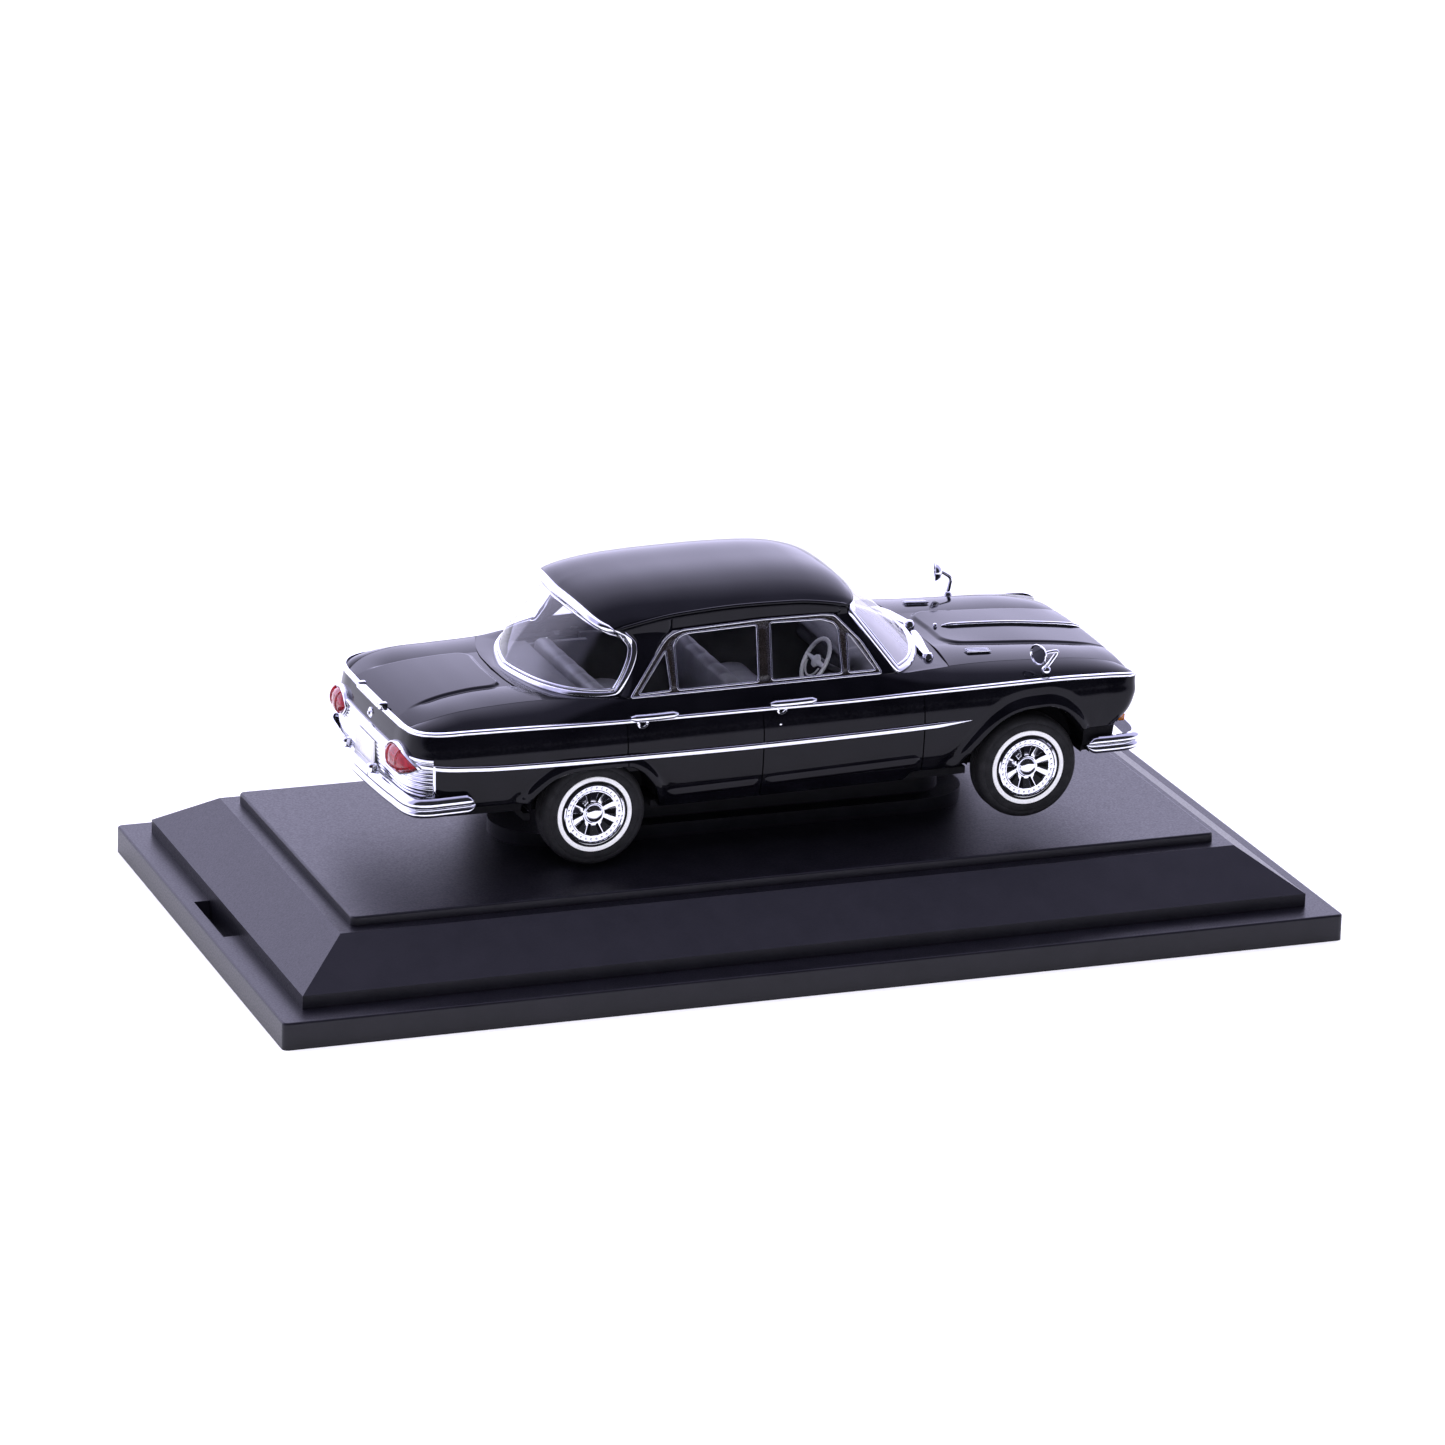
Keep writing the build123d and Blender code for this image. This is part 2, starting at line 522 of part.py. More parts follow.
def bumper(plan, z_range):
    """Wrap-around blade of even thickness with softened edges."""
    outer = mirrored_plan(plan)
    inward = 1.0 if plan[-1][0] < 0 else -1.0
    inner = [(x + inward * (BUMPER_THICKNESS if abs(y) < 19.5 else 0.0),
              y - math.copysign(BUMPER_THICKNESS if abs(y) > 15 else 0.0, y)) for x, y in outer]
    return prism_z(outer + inner[::-1], *z_range)


def mirrored_plan(half):
    """Open run of (x, y) from one end round to the mirrored end."""
    return half + [(x, -y) for x, y in reversed(half[:-1])]


def make_overriders(x, z_low, z_high, inward, y):
    """Pair of upright overriders on a bumper blade."""
    x_low, x_high = sorted((x, x + inward))
    post = block(x_low, x_high, y - OVERRIDER_HALF_WIDTH, y + OVERRIDER_HALF_WIDTH, z_low, z_high)
    return both_sides(fillet(post.edges(), 0.35))


def almond(y, z, half_width, half_height):
    """Lens-shaped outline of two arcs, in the Y-Z plane at x = 0."""
    left, right = (0, y - half_width, z), (0, y + half_width, z)
    upper = ThreePointArc(left, (0, y, z + half_height), right)
    lower = ThreePointArc(right, (0, y, z - half_height), left)
    return make_face(upper + lower)


def make_tail_lamps(outer):
    """Tail lamp lenses and the bright bezels round them."""
    y, z, half_width, half_height = TAIL_LAMP
    forward = (1, 0, 0)
    inner = almond(y, z, half_width - 0.6, half_height - 0.3)
    lens = Pos(-57.3, 0, 0) * extrude(inner, amount=3.6, dir=forward)
    bezel = Pos(-57.0, 0, 0) * extrude(almond(y, z, half_width, half_height), amount=3.4, dir=forward)
    bezel -= lens
    return both_sides(lens) - outer, both_sides(bezel) - outer


def make_grille(skin):
    """Flat grille panel with horizontal bars between the headlamps."""
    panel = skin & block(40.0, 50.0, -8.6, 8.6, 12.2, 18.4)
    for k in range(5):
        z = 12.9 + 1.1 * k
        panel -= Pos(46.9 - 0.35 * (4 - k), 0, z + 0.3) * Box(1.2, 16.4, 0.55)
    return panel


def make_headlamps(outer):
    """Twin lamp bezels on each side and their four lenses."""
    lenses = Part()
    housings = Part()
    for y in HEADLAMP_Y:
        axis_place = Pos(45.6, y, HEADLAMP_Z) * Rot(0, 90, 0)
        lenses += axis_place * Cylinder(HEADLAMP_RADIUS - 0.35, 3.2)
        housings += axis_place * Cylinder(HEADLAMP_RADIUS, 2.8)
    housings -= lenses
    return both_sides(housings) - outer, both_sides(lenses) - outer


def make_mirror(side, elbow, head_centre):
    """Fender mirror: foot above the belt strip, stalk, arm and an oval head facing the driver."""
    y = side * MIRROR_Y
    foot_x, foot_z = MIRROR_FOOT
    elbow_point = (elbow[0], y, elbow[1])
    head_point = (head_centre[0], y, head_centre[1])
    foot = Pos(foot_x, y, foot_z) * Cylinder(0.75, 2.0)
    stalk = rod_between((foot_x, y, foot_z), elbow_point, 0.3)
    arm = rod_between(elbow_point, (head_centre[0], y, elbow[1]), 0.27)
    neck = arm
    if elbow[1] != head_centre[1]:
        neck = rod_between((head_centre[0], y, elbow[1]), head_point, 0.27)
    head = Pos(*head_point) * Rot(0, 90, 0) * extrude(Ellipse(1.4, 1.5), amount=0.5, both=True)
    return stalk + arm + neck + head + foot


def make_plate(x, z):
    """Blank licence plate, its back lower edge at (x, z)."""
    thickness, width, height = PLATE_SIZE
    return block(x, x + thickness, -width / 2, width / 2, z, z + height)


def make_wipers():
    """Two wiper arms parked along the foot of the windscreen."""
    arms = Part()
    for start, end in WIPER_ENDS:
        arms += rod_between(start, end, 0.35)
        arms += Pos(*start) * Sphere(0.7)
    return arms


# ================================================================ running gear
def make_axle():
    """Plain round axle, its ends held in the wheel hubs."""
    return Rot(90, 0, 0) * Cylinder(AXLE_RADIUS, 2 * AXLE_HALF_LENGTH)


def make_tyre():
    """Tyre of the left-hand wheel, with a shallow groove in its sidewall for the white band."""
    inner, outer = TYRE_INNER_Y, TYRE_OUTER_Y
    return turned_y([
        (RIM_RADIUS, inner + 0.3), (RIM_RADIUS + 0.3, inner), (6.5, inner), (7.1, inner + 0.45),
        (TYRE_RADIUS, inner + 1.1), (TYRE_RADIUS, outer - 1.1), (7.1, outer - 0.45), (6.5, outer - 0.05),
        (5.25, outer), (5.25, outer - 0.12), (4.6, outer - 0.12), (4.6, outer - 0.05),
        (RIM_RADIUS, outer - 0.2),
    ])


def make_whitewall():
    """White band let into the tyre's groove."""
    return turned_y([(4.6, TYRE_OUTER_Y - 0.12), (5.25, TYRE_OUTER_Y - 0.12), (5.25, TYRE_OUTER_Y + 0.02),
                     (4.6, TYRE_OUTER_Y + 0.02)])


def make_wheel_cover():
    """Wheel with its bright cover: rolled rim, dished face with slots, stepped centre cap."""
    outer = TYRE_OUTER_Y
    wheel = turned_y([
        (0.0, AXLE_HALF_LENGTH), (AXLE_RADIUS, AXLE_HALF_LENGTH), (AXLE_RADIUS, WHEEL_BACK_Y),
        (RIM_RADIUS, WHEEL_BACK_Y), (RIM_RADIUS, outer - 0.2),
        (4.0, outer - 0.1), (3.7, outer - 0.5), (3.2, outer - 0.35), (2.9, outer - 0.6), (2.0, outer - 0.5),
        (1.8, outer - 0.1), (1.1, outer), (1.0, outer + 0.1), (0.0, outer + 0.15),
    ])
    for k in range(COVER_SLOTS):
        pocket = Pos(2.5, outer, 0) * Box(0.9, 1.5, 0.55)
        wheel -= Rot(0, 360.0 / COVER_SLOTS * k, 0) * pocket
    return wheel


# ================================================================ assembly
def on_wheel(shape, x, side):
    """Place a left-hand wheel part at one of the four wheels, in the car's frame."""
    if side < 0:
        shape = mirror(shape, about=Plane.XZ)
    return Pos(x, 0, TYRE_RADIUS) * shape


def car_nodes():
    """Every car part in the car's level frame, by node name."""
    outer = body_block(0.0)
    greenhouse = greenhouse_block(0.0)
    roof = roof_block(0.0)
    solid_body = outer + greenhouse + roof
    shell = make_body_shell(outer, greenhouse, roof)
    strip_skin = body_block(-STRIP_PROUD) - solid_body
    thick_skin = body_block(-0.7) - solid_body
    frame_skin = greenhouse_block(-0.2) - solid_body
    surround_skin = greenhouse_block(-0.4) - solid_body
    roof_skin = roof_block(-0.5) - solid_body
    glass_band = greenhouse_block(GLASS_RECESS) - greenhouse_block(GLASS_RECESS + GLASS_THICKNESS)
    nodes = {"body_shell": shell, "chassis_screws": make_chassis_screws()}
    nodes["interior_tub"] = make_tub() - shell
    nodes["front_bench_seat"] = bench_seat(FRONT_SEAT_X, 13.2, 21.6)
    nodes["rear_bench_seat"] = bench_seat(REAR_SEAT_X, 11.8, 22.4)
    nodes["dashboard"] = make_dashboard()
    nodes["steering_column"] = make_steering_column() - nodes["dashboard"]
    nodes["steering_wheel"] = make_steering_wheel()
    nodes["windscreen_glass"] = glass_in(WINDSCREEN_HOLE, glass_band)
    nodes["rear_window_glass"] = glass_in(REAR_WINDOW_HOLE, glass_band)
    nodes["side_glass_left"] = make_side_glass(glass_band, 1)
    nodes["side_glass_right"] = make_side_glass(glass_band, -1)
    nodes["side_window_frame_left"] = make_side_frame(frame_skin, 1)
    nodes["side_window_frame_right"] = make_side_frame(frame_skin, -1)
    nodes["windscreen_surround"] = window_surround(surround_skin, WINDSCREEN_HOLE, 0.9)
    nodes["rear_window_surround"] = window_surround(surround_skin, REAR_WINDOW_HOLE, 0.9)
    nodes["roof_rear_moulding"] = skin_band(roof_skin, (-40, -25), (-20, 20), (31.1, 32.1))
    nodes["drip_rail_left"] = skin_band(roof_skin, (-24.9, 7.4), (5, 20), (31.1, 31.6))
    nodes["drip_rail_right"] = skin_band(roof_skin, (-24.9, 7.4), (-20, -5), (31.1, 31.6))
    handles = make_door_handles() - solid_body
    belt = skin_band(strip_skin, (-60, 46.2), (-25, 25), BELT_STRIP_Z)
    nodes["belt_moulding"] = belt - handles - block(0.0, 60.0, -16.0, 16.0, 0.0, FAR)
    nodes["door_handles"] = handles
    nodes["side_moulding_left"] = skin_band(strip_skin, SIDE_STRIP_X, (5, 25), SIDE_STRIP_Z)
    nodes["side_moulding_right"] = skin_band(strip_skin, SIDE_STRIP_X, (-25, -5), SIDE_STRIP_Z)
    door_lock = Pos(-5.4, 19.0, 17.5) * Rot(90, 0, 0) * Cylinder(0.4, 1.0)
    nodes["door_locks"] = both_sides(door_lock) - solid_body
    nodes["hood_spear"] = (skin_band(strip_skin, (25.5, 46.2), (-0.35, 0.35), (19.9, 25))
                           + skin_band(strip_skin, (23.9, 24.6), (-0.35, 0.35), (19.9, 25)))
    nodes["hood_louvres"] = both_sides(skin_band(strip_skin, (24.6, 27.6), (10.8, 11.9), (19.9, 25)))
    nodes["wipers"] = make_wipers() - solid_body - nodes["windscreen_surround"]
    nodes["fender_mirror_left"] = make_mirror(1, *MIRROR_SHAPES[1]) - solid_body - nodes["belt_moulding"]
    nodes["fender_mirror_right"] = make_mirror(-1, *MIRROR_SHAPES[-1]) - solid_body - nodes["belt_moulding"]
    bezels, lenses = make_headlamps(solid_body)
    nodes["headlamp_bezels"] = bezels
    nodes["headlamp_lenses"] = lenses
    nodes["grille"] = make_grille(thick_skin) - bezels
    nodes["front_signal_lamps"] = both_sides(block(43.5, 47.2, 13.2, 16.6, 11.9, 13.2)) - solid_body
    nodes["front_bumper"] = bumper(FRONT_BUMPER_PLAN, FRONT_BUMPER_Z) - solid_body
    front_posts = make_overriders(50.0, 8.4, 12.6, -2.0, 9.5)
    nodes["front_overriders"] = front_posts - nodes["front_bumper"] - solid_body
    nodes["rear_bumper"] = bumper(REAR_BUMPER_PLAN, REAR_BUMPER_Z) - solid_body
    rear_posts = make_overriders(-59.8, 9.2, 13.2, 2.0, 5.6)
    nodes["rear_overriders"] = rear_posts - nodes["rear_bumper"] - solid_body
    lamps, lamp_bezels = make_tail_lamps(solid_body)
    nodes["tail_lamp_lenses"] = lamps
    nodes["tail_lamp_bezels"] = lamp_bezels - nodes["side_moulding_left"] - nodes["side_moulding_right"]
    plate = make_plate(-57.2, 11.6)
    nodes["rear_licence_plate"] = plate
    nodes["tail_panel"] = (skin_band(thick_skin, (-60, -52.6), (-25, 25), (12.4, 16.6))
                           - lamps - lamp_bezels - plate - nodes["side_moulding_left"]
                           - nodes["side_moulding_right"])
    nodes["front_licence_plate"] = make_plate(49.3, 8.2)
    handle = fillet(block(-57.2, -55.0, -4.6, 4.6, 20.2, 21.3).edges().filter_by(Axis.Z), 0.4)
    nodes["boot_handle"] = handle - solid_body - nodes["belt_moulding"]
    nodes["boot_lock"] = Pos(-56.4, 0, 18.2) * Rot(0, 90, 0) * Cylinder(0.6, 1.2) - solid_body
    return nodes


def make_door_handles():
    """Four pull handles on the belt strip, each with a small finger loop below its rear end."""
    handles = Part()
    for rear, front in ((-26.6, -20.0), (-6.9, -0.4)):
        bar = block(rear, front, 18.0, 19.5, 20.0, 20.9)
        bar = fillet(bar.edges().filter_by(Axis.Y), 0.35)
        button = Pos(rear + 1.7, 18.9, 19.6) * Rot(90, 0, 0) * Cylinder(0.6, 0.8)
        handles += bar + button
    return both_sides(handles)


def wheel_nodes():
    """Axles, wheels and tyres in the car's frame, by node name."""
    tyre, cover, band = make_tyre(), make_wheel_cover(), make_whitewall()
    nodes = {}
    for end, x in (("front", HALF_WHEELBASE), ("rear", -HALF_WHEELBASE)):
        nodes[end + "_axle"] = Pos(x, 0, TYRE_RADIUS) * make_axle()
        for name, side in (("left", 1), ("right", -1)):
            nodes[f"{end}_{name}_tyre"] = on_wheel(tyre, x, side)
            nodes[f"{end}_{name}_wheel_cover"] = on_wheel(cover, x, side)
        nodes[end + "_whitewalls"] = on_wheel(band, x, 1) + on_wheel(band, x, -1)
    return nodes


def main():
    """Build every part and write one STEP file for each."""
    parts = {"plinth": make_plinth(), "stand_off_pad": make_pad(), "base_screws": make_base_screws()}
    parts["chassis_plate"] = make_chassis()
    for name, shape in (car_nodes() | wheel_nodes()).items():
        parts[name] = CAR_PLACE * shape
    os.makedirs("parts", exist_ok=True)
    for name, shape in parts.items():
        export_step(shape, f"parts/{name}.step")


main()
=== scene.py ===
"""Looks of the diecast collector car on its stepped plinth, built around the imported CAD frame.

All car shapes are drawn in millimetres in the car's own level frame (x forward, y to its left, z up,
origin midway between the axles at tyre level) and are put in place by the wheels of the CAD frame.
"""
import math

import bmesh
import bpy
import numpy as np
from mathutils import Matrix, Vector


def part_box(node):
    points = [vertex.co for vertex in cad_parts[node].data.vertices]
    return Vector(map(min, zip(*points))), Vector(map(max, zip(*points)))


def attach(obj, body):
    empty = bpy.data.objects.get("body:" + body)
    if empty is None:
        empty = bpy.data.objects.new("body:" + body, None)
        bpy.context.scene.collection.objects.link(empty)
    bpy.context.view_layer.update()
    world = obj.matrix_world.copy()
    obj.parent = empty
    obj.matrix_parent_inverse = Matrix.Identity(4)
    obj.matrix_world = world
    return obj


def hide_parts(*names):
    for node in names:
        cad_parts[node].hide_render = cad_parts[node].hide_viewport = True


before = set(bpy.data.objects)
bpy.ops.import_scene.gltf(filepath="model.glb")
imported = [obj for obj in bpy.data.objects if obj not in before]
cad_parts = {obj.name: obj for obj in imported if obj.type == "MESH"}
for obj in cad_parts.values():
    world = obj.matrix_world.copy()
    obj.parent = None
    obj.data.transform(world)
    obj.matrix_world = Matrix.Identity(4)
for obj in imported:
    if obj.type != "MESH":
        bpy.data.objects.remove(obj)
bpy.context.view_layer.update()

MM = 0.001
BASE_BODY = "display_base"
SIDES = ((1, "left"), (-1, "right"))
ENDS = ((1, "front"), (-1, "rear"))

# ---------------------------------------------------------------- driving dimensions, car frame, mm
HALF_WHEELBASE = 31.17
TYRE_RADIUS = 7.3
TYRE_OUTER = 18.3
TYRE_INNER = 14.1
FRONT_X = 46.5
BELT_Z = [(-56.1, 20.2), (-50.0, 20.4), (-44.6, 20.35), (-28.6, 20.0), (-9.5, 19.8), (4.8, 19.65),
          (15.6, 19.7), (33.9, 19.7), (42.7, 19.4), (46.7, 19.15)]
BELT_PLAN = [(46.6, 17.9), (46.2, 18.45), (42.0, 18.75), (30.0, 18.85), (0.0, 18.85), (-30.0, 18.75),
             (-44.0, 18.4), (-48.4, 18.2), (-52.5, 17.8), (-54.3, 16.8), (-55.4, 15.1), (-55.85, 13.0),
             (-56.0, 9.4), (-56.1, 4.0), (-56.1, 0.0)]
WALL_OFFSET = [(7.4, -0.75), (8.6, -0.3), (9.6, 0.0), (11.0, 0.36), (13.0, 0.6), (15.2, 0.74), (16.5, 0.72),
               (18.0, 0.5), (20.6, 0.0)]
WALL_BOTTOM = [(-60.0, 10.3), (-41.2, 10.2), (-40.8, 9.9), (-39.9, 11.0), (-38.5, 12.3), (-37.0, 13.3),
               (-35.0, 13.95), (-32.2, 14.15), (-29.4, 14.15), (-26.8, 14.05), (-25.2, 13.3), (-23.8, 11.9),
               (-22.7, 10.2), (-22.2, 8.6), (-22.0, 7.5), (12.6, 7.5), (14.2, 8.7), (20.3, 8.8),
               (21.5, 10.1), (22.9, 11.7), (24.3, 13.2), (26.5, 15.0), (28.6, 15.95), (30.8, 16.35),
               (33.3, 16.4), (35.2, 15.85), (36.7, 14.8), (38.0, 13.3), (38.7, 12.5), (47.0, 12.6)]
FRONT_ARCH_X = (20.3, 38.7)
REAR_ARCH_X = (-40.9, -22.2)
DOOR_LINES = (-27.0, -7.8, 15.3)
RAIL_Y = 13.8
PANEL_STEP = 0.32
GAP = 0.13
TURN_DOWN = 0.55
BUMPER_DEPTH = 1.15
BENCH_RIBS = 3
LAMP_Y = (11.2, 15.7)
LAMP_Z = 15.75
LAMP_RADIUS = 2.1
BONNET_HALF = 15.6
BONNET_CREASE_SHARE = 0.49
LID_HALF = 14.4
LID_CREASE_SHARE = 0.55
TAIL_PANEL_LOW = 11.1
TAIL_PANEL_HIGH = 17.0
STUDS = 30
SPOKES = 10
SIDE_WINDOW_NORMAL = (0.0, 0.905, 0.425)
TAIL_BOTTOM = 10.3
TAIL_TURN_X = -54.0
LINER_TOP = 17.6
AXLE_HALF = 15.6
ROOF_REAR = [(0.0, -30.7), (5.0, -30.4), (10.0, -29.7), (12.5, -28.7), (13.8, -27.2)]
ROOF_FRONT = [(0.0, 9.0), (5.0, 8.8), (9.5, 8.2), (12.4, 7.4), (13.8, 6.2)]
ROOF_CROWN = 3.2
MIRROR_Y = 17.75
WELD = 0.004
CORNER_STEPS = 3
COAT_ROUGHNESS = 0.03

# ---------------------------------------------------------------- surroundings
# Lamps are (name, place, aim, size, watts) in metres; the camera is in degrees and millimetres.
FRONT_GLOW = (0.01, 0.01, 0.012)
TOP_GLOW = (0.28, 0.27, 0.42)
BACK_GLOW = (0.88, 0.85, 1.2)
GLOW_STOPS = [(0.0, FRONT_GLOW), (0.3, FRONT_GLOW), (0.42, TOP_GLOW), (0.6, TOP_GLOW), (0.8, BACK_GLOW)]
WORLD_STRENGTH = 2.4
LAMP_TINT = (0.93, 0.92, 1.0)
LAMPS = [("overhead_box", (0.0, 0.1, 1.0), (0, 0, 0), (1.7, 1.7), 12.0),
         ("front_fill", (-0.25, -0.8, 0.45), (0, 0, 0.02), (0.6, 0.4), 5.0),
         ("edge_strip", (-0.15, -0.47, 0.76), (0, 0, 0.02), (0.9, 0.07), 2.4)]
FLOOR_REACH = 3000.0
FLOOR_GLOW = 0.28
CAMERA_AZIMUTH = -20.92
CAMERA_ELEVATION = 18.41
CAMERA_ROLL = 1.76
CAMERA_SHIFT_ASIDE = -0.03
CAMERA_RAISE = 23.64
CAMERA_DISTANCE = 919.4
CAMERA_LENS = 166.76


# ================================================================ numbers and curves
def blend_table(x, table):
    """Smooth curve through (x, value) pairs with no overshoot, read at x (a number or an array)."""
    keys = np.array([k for k, _ in table], float)
    values = np.array([v for _, v in table], float)
    if keys[0] > keys[-1]:
        keys, values = keys[::-1], values[::-1]
    step = np.diff(keys)
    slope = np.diff(values) / step
    tangent = np.zeros(len(keys))
    tangent[0], tangent[-1] = slope[0], slope[-1]
    for i in range(1, len(keys) - 1):
        if slope[i - 1] * slope[i] > 0:
            w_a, w_b = 2 * step[i] + step[i - 1], step[i] + 2 * step[i - 1]
            tangent[i] = (w_a + w_b) / (w_a / slope[i - 1] + w_b / slope[i])
    x = np.clip(np.asarray(x, float), keys[0], keys[-1])
    i = np.clip(np.searchsorted(keys, x) - 1, 0, len(keys) - 2)
    t = (x - keys[i]) / step[i]
    return (values[i] * (1 + 2 * t) * (1 - t) ** 2 + tangent[i] * step[i] * t * (1 - t) ** 2
            + values[i + 1] * t * t * (3 - 2 * t) - tangent[i + 1] * step[i] * t * t * (1 - t))


def smooth_line(points, count):
    """Smooth line through points, evenly divided along its length."""
    points = np.array(points, float)
    knots = np.concatenate([[0.0], np.cumsum(np.linalg.norm(np.diff(points, axis=0), axis=1) ** 0.75)])
    tangents = np.zeros_like(points)
    for i in range(1, len(points) - 1):
        a, b = knots[i] - knots[i - 1], knots[i + 1] - knots[i]
        tangents[i] = ((points[i] - points[i - 1]) / a * b + (points[i + 1] - points[i]) / b * a) / (a + b)
    tangents[0] = (points[1] - points[0]) / (knots[1] - knots[0]) * 1.5 - tangents[1] * 0.5
    tangents[-1] = (points[-1] - points[-2]) / (knots[-1] - knots[-2]) * 1.5 - tangents[-2] * 0.5
    fine = []
    for i in range(len(points) - 1):
        h = knots[i + 1] - knots[i]
        for t in np.linspace(0, 1, 24, endpoint=False):
            fine.append(points[i] * (1 + 2 * t) * (1 - t) ** 2 + tangents[i] * h * t * (1 - t) ** 2
                        + points[i + 1] * t * t * (3 - 2 * t) - tangents[i + 1] * h * t * t * (1 - t))
    fine.append(points[-1])
    return divide(np.array(fine), count)


def run_length(line):
    """Distance along a line of points, at each point."""
    return np.concatenate([[0.0], np.cumsum(np.linalg.norm(np.diff(line, axis=0), axis=1))])


def divide(line, count):
    """A line of points divided evenly along its length."""
    length = run_length(line)
    wanted = np.linspace(0.0, length[-1], count)
    return np.stack([np.interp(wanted, length, line[:, k]) for k in range(line.shape[1])], axis=1)


def row(x, y, z):
    """Row of points from places along, across and up, each a number or an array."""
    return np.stack(np.broadcast_arrays(x, y, z), axis=-1).astype(float)


def soften(loop):
    """Closed loop of points with its corners eased."""
    for _ in range(3):
        loop = (np.roll(loop, 1, axis=0) + loop * 2 + np.roll(loop, -1, axis=0)) / 4
    return loop


def loop_direction(loop):
    """Direction along a closed loop, at each point."""
    return unit(np.roll(loop, -1, axis=0) - np.roll(loop, 1, axis=0))


def mirror_y(points):
    """The same points on the other side of the car."""
    return np.asarray(points, float) * np.array([1.0, -1.0, 1.0])


def unit(vectors):
    """Vectors scaled to length one."""
    vectors = np.asarray(vectors, float)
    return vectors / np.maximum(np.linalg.norm(vectors, axis=-1, keepdims=True), 1e-9)


def soft_step(x, low, high):
    """0 below low, 1 above high, with an even turn between."""
    t = np.clip((np.asarray(x, float) - low) / (high - low), 0.0, 1.0)
    return t * t * (3 - 2 * t)


def ruled(lower, upper, count, bulge=0.0, outward=(0, 0, 1)):
    """Grid between two lines, bowed outwards by a bulge: one for all points, or one for each."""
    bow = unit(outward) * np.asarray(bulge, float)[..., None]
    steps = np.linspace(0.0, 1.0, count)
    return np.array([lower * (1 - t) + upper * t + bow * 4 * t * (1 - t) for t in steps])


# ================================================================ placing things on the frame
def box_centre(node):
    """Centre of a CAD node's box."""
    low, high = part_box(node)
    return (low + high) / 2


def car_matrix():
    """Car frame in millimetres to the row frame in metres, read from the two CAD axles."""
    front, rear = box_centre("front_axle"), box_centre("rear_axle")
    forward = (front - rear).normalized()
    up = Vector((-forward.z, 0.0, forward.x))
    left = up.cross(forward)
    origin = (front + rear) / 2 - up * TYRE_RADIUS * MM
    turn = Matrix((forward, left, up)).transposed().to_4x4()
    return Matrix.Translation(origin) @ turn @ Matrix.Scale(MM, 4)


CAR = car_matrix()
CAR_ARRAY = np.array(CAR)


